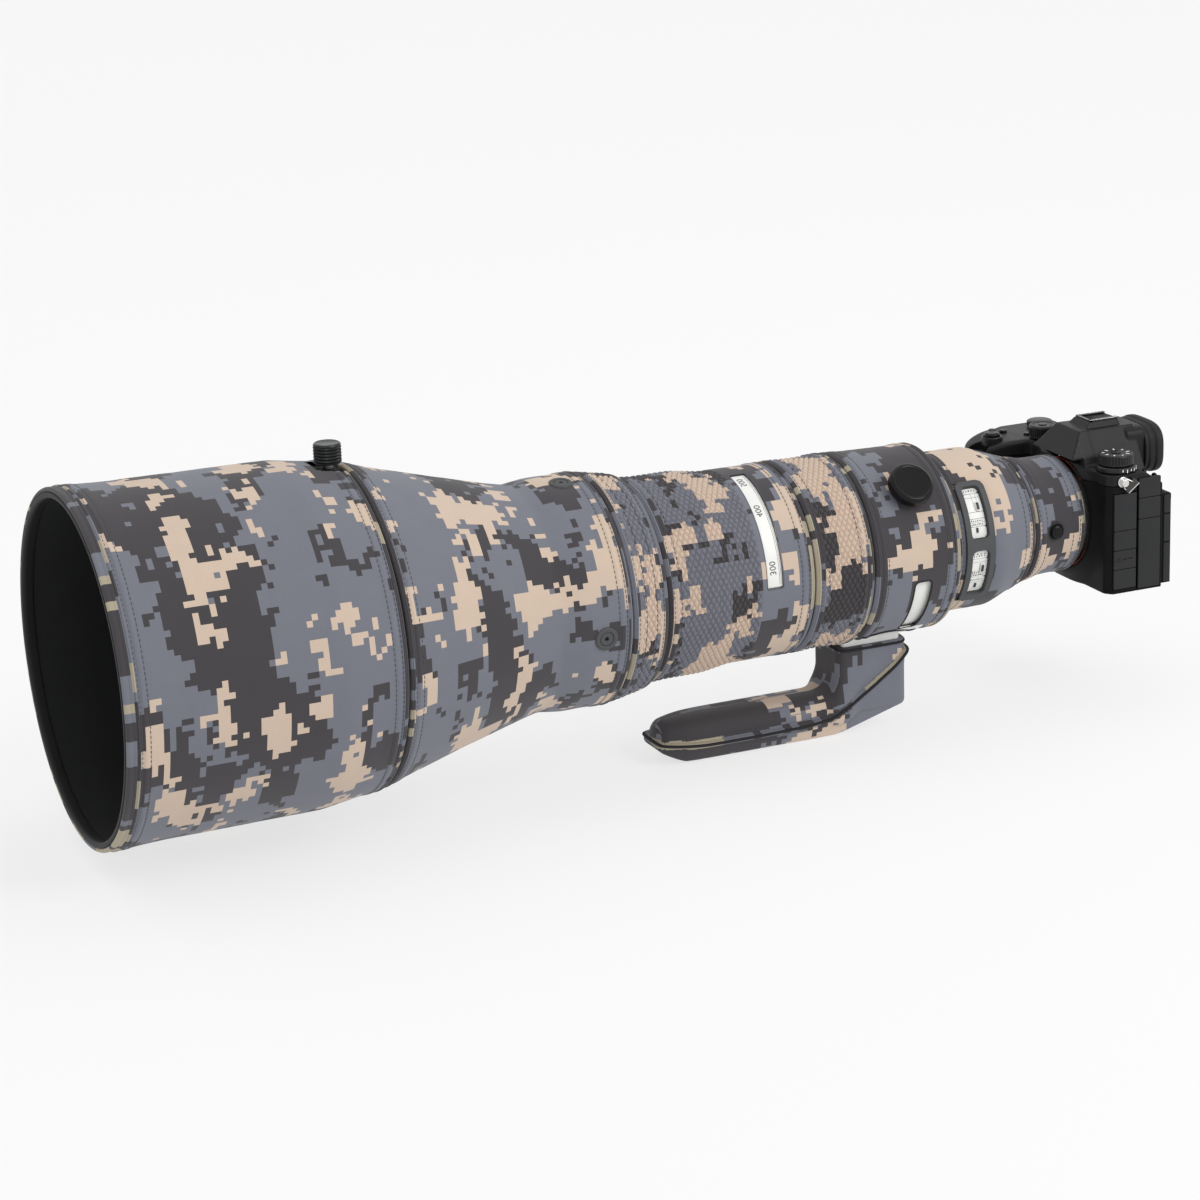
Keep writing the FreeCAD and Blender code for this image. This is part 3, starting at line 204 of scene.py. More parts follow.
def painted_groove_shade(graph, cloth, base, ribs):
    """Painted shade: the print made darker along the grooves between embossed diamonds."""
    parts = graph.split(cloth)
    around = graph.maths("DIVIDE", parts[0], DIAMOND_ACROSS * MM)
    along = graph.maths("DIVIDE", parts[1], DIAMOND_ALONG * MM)
    reaches = []
    for operation in ("ADD", "SUBTRACT"):
        phase = graph.maths("FRACT", graph.maths(operation, around, along))
        reaches.append(graph.maths("ABSOLUTE", graph.minus(phase, 0.5)))
    edge = graph.minus(graph.maths("MAXIMUM", *reaches), 0.37)
    groove = graph.maths("MINIMUM", graph.maths("MAXIMUM", graph.times(edge, 7.0), 0.0), 1.0)
    inside = 0.0
    for low, high in ribs:
        inside = graph.plus(graph.between(parts[1], low * MM, high * MM), inside)
    # painted shade: the print darkened along the grooves
    shaded = graph.vector("MULTIPLY", base, (0.80, 0.66, 0.64))
    return graph.mix(graph.times(groove, inside), base, shaded)


def camouflage(name, seed, dark_at, pale_at, tape=False, ribs=(), leans=()):
    """Stepped camouflage on stretch neoprene, with its fibre, faint wear and knit.

    Each rib is (low, high): an embossed band in millimetres along the lens, its grooves given painted shade.
    Each lean is (low, high, darker, paler): along that stretch a patch is likelier to be dark or pale.
    """
    material, shader = new_material(name)
    graph = Graph(material)
    cloth = graph.add("ShaderNodeUVMap", uv_map="cloth").outputs["UV"]
    base = printed_patches(graph, cloth, seed, tape, dark_at, pale_at, leans)
    if ribs:
        base = painted_groove_shade(graph, cloth, base, ribs)
    fibre = graph.noise(cloth, 1500.0, 2.0, 0.6)
    wear = graph.noise(cloth, 60.0, 4.0, 0.6)
    tone = graph.plus(graph.plus(graph.times(fibre, 0.22), graph.times(wear, 0.12)), 0.83)
    scaled = graph.add("ShaderNodeVectorMath", operation="SCALE")
    graph.link(base, scaled.inputs[0])
    graph.link(tone, scaled.inputs["Scale"])
    graph.link(scaled.outputs[0], shader.inputs["Base Color"])
    graph.link(graph.plus(graph.times(fibre, 0.15), 0.74), shader.inputs["Roughness"])
    knit = graph.plus(graph.wave(cloth, 420.0, "X"), graph.times(graph.wave(cloth, 300.0, "Y"), 0.6))
    graph.bump(graph.plus(knit, fibre), 0.28, 0.00012)
    graph.constants(Sheen_Weight=0.12, Sheen_Roughness=0.55, Specular_IOR_Level=0.25)
    return material


def hard_material(
    name, colour, roughness, metallic=0.0, grain=0.0, grain_scale=900.0, coat=0.0, scuff=0.03, gloss=0.5,
):
    """A hard finish with its grain, faint wear and uneven gloss."""
    material, shader = new_material(name)
    graph = Graph(material)
    place = graph.add("ShaderNodeTexCoord").outputs["Object"]
    patch = graph.noise(place, 45.0, 4.0, 0.6)
    fine = graph.noise(place, grain_scale, 2.0, 0.5)
    shades = graph.mix(patch, scaled_colour(colour, 0.86), scaled_colour(colour, 1.16, 0.004))
    graph.link(shades, shader.inputs["Base Color"])
    spread = graph.times(graph.minus(patch, 0.5), scuff * 4.0)
    uneven = graph.plus(spread, graph.times(fine, 0.08))
    graph.link(graph.plus(uneven, roughness - 0.04), shader.inputs["Roughness"])
    graph.constants(Metallic=metallic, Coat_Weight=coat, Coat_Roughness=0.08, Specular_IOR_Level=gloss)
    if grain:
        graph.bump(fine, grain, 0.0001)
    return material


def brushed_material(name, colour, roughness, direction):
    """Turned or brushed metal with fine lines."""
    material, shader = new_material(name)
    graph = Graph(material)
    place = graph.add("ShaderNodeTexCoord").outputs["Object"]
    lines = graph.noise(graph.vector("MULTIPLY", place, direction), 900.0, 3.0, 0.6)
    graph.link(graph.mix(lines, scaled_colour(colour, 0.78), colour), shader.inputs["Base Color"])
    graph.link(graph.plus(graph.times(lines, 0.2), roughness - 0.1), shader.inputs["Roughness"])
    graph.constants(Metallic=1.0)
    graph.bump(lines, 0.15, 0.00005)
    return material


def glass_material(name, tint, coating):
    """Coated glass: clear, with its film's reflection painted into its colour: the coating's tint face-on, the
    glass's own towards the edges.
    """
    material, shader = new_material(name)
    graph = Graph(material)
    edge = graph.add("ShaderNodeLayerWeight")
    edge.inputs["Blend"].default_value = 0.35
    # painted reflection: the colour changes with the viewing angle
    graph.link(graph.mix(edge.outputs["Facing"], coating, tint), shader.inputs["Base Color"])
    graph.constants(
        Roughness=0.02, Transmission_Weight=0.85, IOR=1.52, Coat_Weight=0.6, Coat_Roughness=0.02,
        Coat_Tint=coating,
    )
    return material


FOCUS_RIBS, ZOOM_RIBS, FUNCTION_RIBS = (163.5, 190.8), (231.5, 286.5), (298.5, 312.0)
FOOT_LEANS = ((110.0, 166.0, -0.10, -0.02), (166.0, 214.0, -0.04, 0.13), (212.0, 290.0, 0.06, -0.03))
CAMO = camouflage("neoprene_camouflage", 1.0, 0.517, 0.562)
CAMO_FRONT = camouflage("neoprene_camouflage_front", 2.6, 0.505, 0.58)
CAMO_RINGS = camouflage("neoprene_camouflage_collar", 4.2, 0.482, 0.605)
# the embossed rings carry painted shade along the grooves of their diamonds
CAMO_RIBBED = camouflage(
    "neoprene_camouflage_embossed", 6.1, 0.54, 0.532, ribs=(FOCUS_RIBS, ZOOM_RIBS, FUNCTION_RIBS),
)
CAMO_REAR = camouflage("neoprene_camouflage_rear", 5.5, 0.52, 0.578)
CAMO_FOOT = camouflage("neoprene_camouflage_foot", 9.9, 0.50, 0.595, leans=FOOT_LEANS)
FLANGE_TAPE = camouflage("flange_tape", 3.3, 0.52, 0.52, tape=True)
TAPE = camouflage("binding_tape", 8.8, 0.465, 0.565, tape=True)
THREAD = hard_material("stitching_thread", (0.078, 0.080, 0.092), 0.8, scuff=0.01, gloss=0.2)
BINDING_BLACK = hard_material(
    "black_binding", (0.018, 0.017, 0.019), 0.8, grain=0.3, grain_scale=1800.0, gloss=0.2,
)
LENS_WHITE = hard_material("white_lens_enamel", (0.72, 0.72, 0.695), 0.42, grain=0.05, grain_scale=1600.0)
BODY_BLACK = hard_material(
    "black_body_paint", (0.0040, 0.0040, 0.0043), 0.42, grain=0.25, grain_scale=2200.0, gloss=0.07,
)
# painted light: a lighter copy of the body's black paint, for the top shell, which faces the lamps
HUMP_BLACK_PAINTED_LIGHT = hard_material(
    "black_top_cover_painted_light", (0.0068, 0.0068, 0.0072), 0.40, grain=0.25, grain_scale=2200.0, gloss=0.20,
)
GRIP_RUBBER = hard_material(
    "grip_rubber", (0.009, 0.009, 0.009), 0.66, grain=0.6, grain_scale=1100.0, gloss=0.2,
)
DOOR_RUBBER = hard_material(
    "door_rubber", (0.0145, 0.015, 0.016), 0.56, grain=0.2, grain_scale=1800.0, gloss=0.25,
)
SOFT_RUBBER = hard_material(
    "soft_rubber", (0.011, 0.011, 0.012), 0.6, grain=0.25, grain_scale=1500.0, gloss=0.25,
)
GREY_RUBBER = hard_material(
    "grey_rubber", (0.060, 0.062, 0.064), 0.60, grain=0.15, grain_scale=1500.0, gloss=0.3,
)
BUTTON_RUBBER = hard_material(
    "button_rubber", (0.016, 0.016, 0.017), 0.55, grain=0.15, grain_scale=1500.0, gloss=0.3,
)
GLOSS_BLACK = hard_material("gloss_black", (0.0035, 0.0035, 0.004), 0.22, coat=0.03, scuff=0.012, gloss=0.16)
DIAL_BLACK = hard_material("dial_black", (0.011, 0.011, 0.012), 0.36, metallic=0.2, grain=0.12, gloss=0.35)
KNURL_BLACK = hard_material("knurled_black", (0.016, 0.017, 0.018), 0.30, metallic=0.4, grain=0.1, gloss=0.4)
SHOE_PAINT = hard_material("shoe_paint", (0.016, 0.016, 0.017), 0.36, metallic=0.3, gloss=0.4)
HOOD_BLACK = hard_material(
    "hood_matte_black", (0.0115, 0.012, 0.013), 0.82, grain=0.5, grain_scale=2600.0, gloss=0.2,
)
MARK_WHITE = hard_material("white_marking", (0.78, 0.78, 0.76), 0.6, scuff=0.01)
MARK_BLACK = hard_material("black_marking", (0.03, 0.03, 0.032), 0.6, scuff=0.01)
# painted shade: the trim's orange is darkened to its tone in shadow
TRIM_ORANGE_SHADED = hard_material("orange_trim_painted_shade", (0.42, 0.045, 0.012), 0.34, metallic=0.5, coat=0.2)
STEEL = brushed_material("mount_steel", (0.66, 0.65, 0.63, 1.0), 0.30, (1.0, 0.02, 1.0))
LUG_STEEL = brushed_material("lug_steel", (0.74, 0.73, 0.71, 1.0), 0.22, (0.2, 1.0, 1.0))
LEATHER = hard_material("black_leather", (0.02, 0.019, 0.018), 0.5, grain=0.7, grain_scale=700.0)
SCREEN = hard_material("screen_glass", (0.004, 0.004, 0.006), 0.09, coat=0.15, scuff=0.005, gloss=0.3)
SENSOR = hard_material("sensor_glass", (0.03, 0.05, 0.05), 0.08, coat=1.0, scuff=0.005)
BOARD = hard_material("circuit_board", (0.01, 0.08, 0.035), 0.4, grain=0.3, grain_scale=400.0)
GLASS = glass_material("coated_glass", (0.80, 0.86, 0.90, 1.0), (0.34, 0.50, 0.46, 1.0))
FINDER = glass_material("finder_glass", (0.05, 0.06, 0.08, 1.0), (0.09, 0.08, 0.14, 1.0))


# ------------------------------------------------------------ mesh helpers

def finish_piece(name, mesh, material, body, slot, replaces=(), smooth=35.0):
    """Turn a mesh into a piece that rides on a body."""
    piece = bpy.data.objects.new(name, mesh)
    bpy.context.scene.collection.objects.link(piece)
    for item in material if isinstance(material, (list, tuple)) else (material,):
        mesh.materials.append(item)
    mesh.validate()
    if smooth:
        mesh.polygons.foreach_set("use_smooth", [True] * len(mesh.polygons))
        mesh.set_sharp_from_angle(angle=math.radians(smooth))
    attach(piece, body)
    if replaces:
        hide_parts(*replaces)
    return piece


def mesh_from(name, vertices, faces, uvs=None):
    """A mesh from lists, with an optional cloth UV for every face corner."""
    mesh = bpy.data.meshes.new(name)
    mesh.from_pydata([tuple(vertex) for vertex in vertices], [], faces)
    layer = mesh.uv_layers.new(name="cloth")
    if uvs is not None:
        layer.data.foreach_set("uv", np.asarray(uvs, dtype=np.float32).ravel())
    mesh.update()
    return mesh


def reworked(mesh, change):
    """Change a mesh in place through a bmesh."""
    work = bmesh.new()
    work.from_mesh(mesh)
    change(work)
    work.to_mesh(mesh)
    work.free()


def fill_rims(work):
    """Fill open rims and point every face outward."""
    rims = [edge for edge in work.edges if edge.is_boundary]
    if rims:
        bmesh.ops.holes_fill(work, edges=rims, sides=0)
    bmesh.ops.recalc_face_normals(work, faces=work.faces)


def closed_piece(name, spun, material, body, slot, replaces=(), smooth=35.0):
    """A piece from the vertices, faces and UVs of a spun profile, with its ends filled."""
    mesh = mesh_from(name, *spun)
    reworked(mesh, fill_rims)
    return finish_piece(name, mesh, material, body, slot, replaces, smooth)


def smooth_line(points, spread=5.0):
    """A function giving the radius along a sleeve, with its corners rounded."""
    at = np.array([point[0] for point in points], float)
    radius = np.array([point[1] for point in points], float)
    fine = np.arange(at[0] - 3 * spread, at[-1] + 3 * spread, 0.5)
    slope_low = (radius[1] - radius[0]) / (at[1] - at[0])
    slope_high = (radius[-1] - radius[-2]) / (at[-1] - at[-2])
    value = np.interp(fine, at, radius)
    value = np.where(fine < at[0], radius[0] + slope_low * (fine - at[0]), value)
    value = np.where(fine > at[-1], radius[-1] + slope_high * (fine - at[-1]), value)
    reach = int(2 * spread)
    kernel = np.hanning(2 * reach + 1)
    kernel /= kernel.sum()
    soft = np.convolve(np.pad(value, reach, mode="edge"), kernel, mode="valid")
    return lambda distance: float(np.interp(distance, fine, soft))


def stations(start, end, step, edges=()):
    """Positions from start to end with close rows beside every edge."""
    values = set(np.round(np.linspace(start, end, max(2, int((end - start) / step) + 1)), 4))
    for edge in edges:
        for offset in (0.0, 0.25, 0.6, 1.1, 1.8, 2.6, 3.6, 4.2, 4.6, 5.2, 6.2):
            for side in (-1, 1):
                value = edge + side * offset
                if start <= value <= end:
                    values.add(round(value, 4))
    ordered = sorted(values)
    kept = [ordered[0]]
    for value in ordered[1:]:
        if value - kept[-1] > 0.12:
            kept.append(value)
    kept[-1] = ordered[-1]
    return kept


# ----------------------------------------------------------- shape helpers

def grid_face(columns, row, after, column, beside):
    """The four corners of one cell in a grid of vertices."""
    first, second = row * columns, after * columns
    return (first + column, first + beside, second + beside, second + column)


def cloth_square(left, right, low, high):
    """The cloth UVs of one cell's corners."""
    return [(left, low), (right, low), (right, high), (left, high)]


def spin(profile, origin, axis, across, steps=96, arc=(0.0, 360.0), swell=None, closed=False):
    """Turn a profile of (along, radius) millimetres about an axis; returns vertices, faces and UVs.

    swell(row, degrees) gives a radius to add, for knurls and ribs.
    """
    axis = axis.normalized()
    first = (across - axis * across.dot(axis)).normalized()
    second = axis.cross(first)
    full = arc[1] - arc[0] >= 359.9
    columns = steps if full else steps + 1
    vertices, uvs, faces = [], [], []
    run = [0.0]
    for before, after in zip(profile, profile[1:]):
        run.append(run[-1] + math.dist(before, after))
    mean = sum(radius for along, radius in profile) / len(profile)
    for row, (along, radius) in enumerate(profile):
        for column in range(columns):
            degrees = arc[0] + (arc[1] - arc[0]) * column / steps
            turn = math.radians(degrees)
            reach = radius + (swell(row, degrees) if swell else 0.0)
            side = first * math.cos(turn) + second * math.sin(turn)
            vertices.append(origin + (axis * along + side * reach) * MM)
    rows = len(profile)
    for row in range(rows if closed else rows - 1):
        after = (row + 1) % rows
        low, high = run[row] * MM, (run[after] if after else run[row] + 1.0) * MM
        for column in range(steps):
            faces.append(grid_face(columns, row, after, column, (column + 1) % columns)[::-1])
            left, right = (
                math.radians(arc[0] + (arc[1] - arc[0]) * place / steps) * mean * MM
                for place in (column, column + 1)
            )
            uvs.extend(cloth_square(left, right, low, high)[::-1])
    return vertices, faces, uvs


def softened(points, radius=0.5, steps=4, closed=False):
    """A profile with its inner corners rounded."""
    result = []
    count = len(points)
    for index, point in enumerate(points):
        if not closed and index in (0, count - 1):
            result.append(point)
            continue
        here = Vector(point)
        back = Vector(points[index - 1]) - here
        ahead = Vector(points[(index + 1) % count]) - here
        reach = min(radius, back.length * 0.48, ahead.length * 0.48)
        if reach < 1e-4:
            result.append(point)
            continue
        start = here + back.normalized() * reach
        end = here + ahead.normalized() * reach
        for step in range(steps + 1):
            t = step / steps
            bend = start * (1 - t) ** 2 + here * 2 * t * (1 - t) + end * t**2
            result.append((bend.x, bend.y))
    return result


def lens_turned(
    name, profile, material, body, slot, replaces=(), radius=0.5, steps=160, arc=(0.0, 360.0), closed=True,
):
    """A piece turned about the optical axis; its profile is (distance, radius)."""
    line = softened(profile, radius, closed=closed) if radius else profile
    spun = spin(line, AXIS_POINT, FORWARD, PORT, steps, arc, closed=closed)
    return closed_piece(name, spun, material, body, slot, replaces)


def side_of(axis):
    """A direction across an axis."""
    return PORT if abs(axis.dot(PORT)) < 0.9 else UP


def knob(name, profile, origin, axis, material, body, slot, replaces=(), radius=0.4, steps=96, across=None):
    """A round piece on its own axis; its profile is (height, radius) and is capped at both ends."""
    spun = spin(softened(profile, radius), origin, axis, across or side_of(axis), steps)
    return closed_piece(name, spun, material, body, slot, replaces)


def prism(outline, low, high, place, bevel=0.0, segments=3):
    """A beveled slab: an outline in the plane and two heights, through place(x, y, height)."""
    work = bmesh.new()
    lower = [work.verts.new(place(x, y, low)) for x, y in outline]
    upper = [work.verts.new(place(x, y, high)) for x, y in outline]
    count = len(outline)
    work.faces.new(list(reversed(lower)))
    work.faces.new(upper)
    for index in range(count):
        after = (index + 1) % count
        work.faces.new((lower[index], lower[after], upper[after], upper[index]))
    bmesh.ops.recalc_face_normals(work, faces=work.faces)
    if bevel:
        bevel_edges(work, list(work.edges), bevel, segments)
    return work


def bevel_edges(work, edges, width, segments=3):
    """Round some edges, by a width in millimetres."""
    bmesh.ops.bevel(
        work, geom=edges, offset=width * MM, segments=segments, profile=0.6, affect="EDGES",
        clamp_overlap=True,
    )


def rounded_outline(low_x, high_x, low_y, high_y, radius, steps=6):
    """A rectangle with round corners, as points."""
    radius = min(radius, (high_x - low_x) * 0.499, (high_y - low_y) * 0.499)
    points = []
    corners = [
        (high_x - radius, low_y + radius, -90),
        (high_x - radius, high_y - radius, 0),
        (low_x + radius, high_y - radius, 90),
        (low_x + radius, low_y + radius, 180),
    ]
    for x, y, start in corners:
        for step in range(steps + 1):
            turn = math.radians(start + 90.0 * step / steps)
            points.append((x + radius * math.cos(turn), y + radius * math.sin(turn)))
    return points


def on_top(x, back, up):
    """An outline in (x, back), at a height up."""
    return camera_point(x, back, up)


def on_side(back, up, x):
    """An outline in (back, up), at an x."""
    return camera_point(x, back, up)


def on_face(x, up, back):
    """An outline in (x, up), at a distance back."""
    return camera_point(x, back, up)


def join_work(parts):
    """One mesh from several bmeshes."""
    total = bmesh.new()
    for part in parts:
        scratch = bpy.data.meshes.new("scratch")
        part.to_mesh(scratch)
        part.free()
        total.from_mesh(scratch)
        bpy.data.meshes.remove(scratch)
    return total


def piece_from(name, parts, material, body, slot, replaces=(), smooth=35.0):
    """A piece from one or several bmeshes."""
    work = join_work(parts if isinstance(parts, (list, tuple)) else [parts])
    bmesh.ops.recalc_face_normals(work, faces=work.faces)
    mesh = bpy.data.meshes.new(name)
    work.to_mesh(mesh)
    work.free()
    return finish_piece(name, mesh, material, body, slot, replaces, smooth)


def spun_work(profile, origin, axis, steps=64, radius=0.3):
    """A capped round solid as a bmesh."""
    line = softened(profile, radius) if radius else profile
    vertices, faces, uvs = spin(line, origin, axis, side_of(axis), steps)
    work = bmesh.new()
    made = [work.verts.new(vertex) for vertex in vertices]
    for face in faces:
        work.faces.new([made[index] for index in face])
    fill_rims(work)
    return work


def tube_work(path, radius, sides=8, closed=False, flat=1.0, normals=None):
    """A tube along a path of points in metres, as a bmesh."""
    work = bmesh.new()
    count = len(path)
    rings = []
    for index, point in enumerate(path):
        before = path[index - 1] if closed or index else path[0]
        after = path[(index + 1) % count] if closed or index < count - 1 else path[-1]
        along = (after - before).normalized()
        guide = normals[index] if normals else (UP if abs(along.z) < 0.9 else PORT)
        side = along.cross(guide).normalized()
        rise = side.cross(along).normalized()
        ring = []
        for step in range(sides):
            turn = 2 * math.pi * step / sides
            out = side * math.cos(turn) + rise * math.sin(turn) * flat
            ring.append(work.verts.new(point + out * radius * MM))
        rings.append(ring)
    last = count if closed else count - 1
    for index in range(last):
        ring, after = rings[index], rings[(index + 1) % count]
        for step in range(sides):
            beside = (step + 1) % sides
            work.faces.new((ring[step], ring[beside], after[beside], after[step]))
    if not closed:
        work.faces.new(list(reversed(rings[0])))
        work.faces.new(rings[-1])
    return work


# ---------------------------------------------------------------- sleeves

LENGTHWISE = {
    "mount": [(2.2, 35.4), (24.0, 36.4), (38.3, 38.9)],
    "rear": [(39.0, 39.2), (64.0, 48.8), (98.2, 48.8)],
    "collar": [(99.4, 55.7), (157.0, 57.0)],
    "focus": [(157.9, 57.3), (196.2, 57.3)],
    "zoom": [(197.0, 57.2), (238.0, 57.6), (256.0, 60.3), (292.3, 60.3)],
    "function": [(293.2, 62.6), (304.0, 65.8), (317.3, 67.5)],
    "front": [
        (318.1, 68.3), (346.0, 68.3), (361.0, 66.4), (376.0, 69.9), (408.0, 78.3), (440.0, 87.2),
        (462.6, 93.8),
    ],
    "hood": [(463.6, 94.4), (476.0, 95.8), (499.0, 99.4), (590.0, 100.2), (621.0, 101.6)],
}
ROUNDING = {
    "mount": 2.5, "rear": 4.0, "collar": 2.0, "focus": 1.0, "zoom": 5.0, "function": 2.5, "front": 6.0,
    "hood": 5.0,
}
RADIUS = {name: smooth_line(points, ROUNDING[name]) for name, points in LENGTHWISE.items()}


def mean_radius(name):
    """The radius that turns an angle on a sleeve into a length of cloth."""
    points = LENGTHWISE[name]
    return sum(radius for distance, radius in points) / len(points)


def sleeve_span(name):
    """The two ends of a sleeve."""
    return LENGTHWISE[name][0][0], LENGTHWISE[name][-1][0]


def diamonds(around, along):
    """Height from 0 to 1 of the embossed diamonds, at millimetres of cloth."""
    first = around / DIAMOND_ACROSS + along / DIAMOND_ALONG
    second = around / DIAMOND_ACROSS - along / DIAMOND_ALONG
    reach = 0.5 - max(abs(first - math.floor(first) - 0.5), abs(second - math.floor(second) - 0.5))
    rise = min(1.0, reach / 0.27)
    return rise * rise * (3 - 2 * rise)


EDGE_BEND = 3.2
SEAM_FROM_EDGE = 4.3
WELT_FROM_EDGE, WELT_WIDE = 4.9, 3.4
SEAM_ANGLE = -90.0


def sleeve_surface(name, ribs=None):
    """A function giving a sleeve's radius at (distance, angle), with its edges turned in and its creases."""
    line = RADIUS[name]
    start, end = sleeve_span(name)
    mean = mean_radius(name)
    shift = sum(ord(letter) for letter in name) * 0.37

    def radius(distance, angle):
        value = line(distance)
        turn = math.radians(angle)
        place = Vector((math.cos(turn) * 2.4, math.sin(turn) * 2.4, distance / 26.0 + shift))
        edge = min(distance - start, end - distance)
        calm = max(0.0, min(1.0, (edge - 5.0) / 10.0))
        crease = noise.noise(place) * 0.22 + noise.noise(place * 3.1) * 0.10
        value += (crease - 0.22) * calm
        if ribs and ribs[0] <= distance <= ribs[1]:
            fade = min(1.0, (distance - ribs[0]) / 1.5, (ribs[1] - distance) / 1.5)
            value += (diamonds(turn * mean, distance) - 1.0) * 0.95 * fade
        if edge < EDGE_BEND:
            bend = 1.0 - max(0.0, edge) / EDGE_BEND
            value -= 1.5 * bend * bend
        seam = abs(edge - SEAM_FROM_EDGE)
        if seam < 0.9:
            value -= 0.45 * (1.0 - seam / 0.9)
        if WELT_FROM_EDGE < edge < WELT_FROM_EDGE + WELT_WIDE:
            rise = math.sin(math.pi * (edge - WELT_FROM_EDGE) / WELT_WIDE)
            value += 0.42 * rise * (0.85 + 0.3 * noise.noise(place * 4.0))
        return value

    return radius


def sleeve_rows(start, end, spacing, ribs, d_lines):
    """Distances of a sleeve's rows: close at its edges, at cuts and over its ribs."""
    rows = set(stations(start, end, spacing, (start, end, *d_lines)))
    if ribs:
        inner = [start + 0.1, *np.arange(ribs[0], ribs[1], 0.5), end - 0.1]
        rows |= set(np.round(inner, 3))
    rows |= {value for step in range(1, 14) for value in (start + 0.68 * step, end - 0.68 * step)}
    rows = sorted(rows)
    kept = [rows[0]]
    for value in rows[1:]:
        if value - kept[-1] > 0.2 or value in d_lines:
            kept.append(value)
    return kept


def sleeve_angles(spacing, a_lines):
    """Angles of a sleeve's columns, starting underneath, with one on the edge of every cut."""
    step = 360.0 / round(360.0 / spacing)
    angles = list(np.arange(SEAM_ANGLE, SEAM_ANGLE + 360.0 - 1e-6, step))
    for line in a_lines:
        line = (line - SEAM_ANGLE) % 360.0 + SEAM_ANGLE
        nearest = min(range(len(angles)), key=lambda index: abs(angles[index] - line))
        angles[nearest] = line
    return [*angles, SEAM_ANGLE + 360.0]


def face_outward(work):
    """Drop loose points and turn the faces of a sleeve away from the axis."""
    bmesh.ops.delete(work, geom=[vertex for vertex in work.verts if not vertex.link_faces], context="VERTS")
    sample = work.faces[:][len(work.faces) // 2]
    centre = sample.calc_center_median()
    if sample.normal.dot(Vector((centre.x - AXIS_POINT.x, 0, centre.z - AXIS_POINT.z))) < 0:
        bmesh.ops.reverse_faces(work, faces=work.faces)


def sleeve_cloth(key, name, material, body, node, radius, rows, angles, holes):
    """The cloth of a sleeve: a thin shell cut where holes say so."""
    mean = mean_radius(key)
    vertices, uvs, faces = [], [], []
    columns = len(angles) - 1
    ends = [(rows[0], -1.0), *[(row, 0.0) for row in rows], (rows[-1], -1.0)]
    for distance, tuck in ends:
        for angle in angles[:-1]:
            vertices.append(lens_point(distance, angle, radius(distance, angle) + tuck))
    for row in range(len(ends) - 1):
        low, high = ends[row][0], ends[row + 1][0]
        for column in range(columns):
            middle = (low + high) / 2, (angles[column] + angles[column + 1]) / 2
            if any(hole(*middle) for hole in holes):
                continue
            faces.append(grid_face(columns, row, row + 1, column, (column + 1) % columns))
            left, right = (math.radians(angles[index]) * mean * MM for index in (column, column + 1))
            uvs.extend(cloth_square(left, right, low * MM, high * MM))
    mesh = mesh_from(name, vertices, faces, uvs)
    reworked(mesh, face_outward)
    return finish_piece(name, mesh, material, body, "cover_fabric", (node,), smooth=50.0)


TAPE_PROFILE = [
    (-0.05, -1.1), (0.05, 0.15), (0.45, 0.46), (1.1, 0.56), (1.45, 0.52), (1.6, 0.2), (1.75, 0.52),
    (2.3, 0.5),
    (2.8, 0.28), (3.0, -0.3),
]
TAPE_STEPS = 180


def binding_tape(key, name, body, radius, holes):
    """The tape folded over each end of a sleeve; its profile is (inward, lift)."""
    start, end = sleeve_span(key)
    mean = mean_radius(key)
    vertices, faces, uvs = [], [], []
    for side, origin in ((1, start), (-1, end)):
        first_row = len(vertices) // TAPE_STEPS
        for row, (inward, lift) in enumerate(TAPE_PROFILE):
            distance = origin + side * inward
            clamped = min(max(distance, start), end)
            for column in range(TAPE_STEPS):
                angle = SEAM_ANGLE + 360.0 * column / TAPE_STEPS
                wave = 0.08 * noise.noise(Vector((angle * 0.35, row * 0.7, origin)))
                vertices.append(lens_point(distance, angle, radius(clamped, angle) + lift + wave))
        for row in range(len(TAPE_PROFILE) - 1):
            low, high = ((origin + TAPE_PROFILE[place][0]) * MM for place in (row, row + 1))
            for column in range(TAPE_STEPS):
                middle = SEAM_ANGLE + 360.0 * (column + 0.5) / TAPE_STEPS
                if any(hole(origin + side * 1.5, middle) for hole in holes):
                    continue
                line = first_row + row
                corners = grid_face(TAPE_STEPS, line, line + 1, column, (column + 1) % TAPE_STEPS)
                left, right = (
                    math.radians(360.0 * place / TAPE_STEPS) * mean * MM
                    for place in (column, column + 1)
                )
                faces.append(corners[::side])
                uvs.extend(cloth_square(left, right, low, high)[::side])
    mesh = mesh_from(f"{name}_binding", vertices, faces, uvs)
    return finish_piece(f"{name}_binding", mesh, TAPE, body, "cover_fabric", smooth=60.0)


STITCH_LONG, STITCH_GAP, STITCH_HALF_WIDE = 1.9, 1.0, 0.13
STITCH_SHAPE = ((0.0, -0.15), (0.18, 0.07), (0.82, 0.07), (1.0, -0.15))


def thicken_thread(work):
    """Give flat stitches their thickness."""
    bmesh.ops.solidify(work, geom=work.faces[:], thickness=0.00025)
    bmesh.ops.recalc_face_normals(work, faces=work.faces)


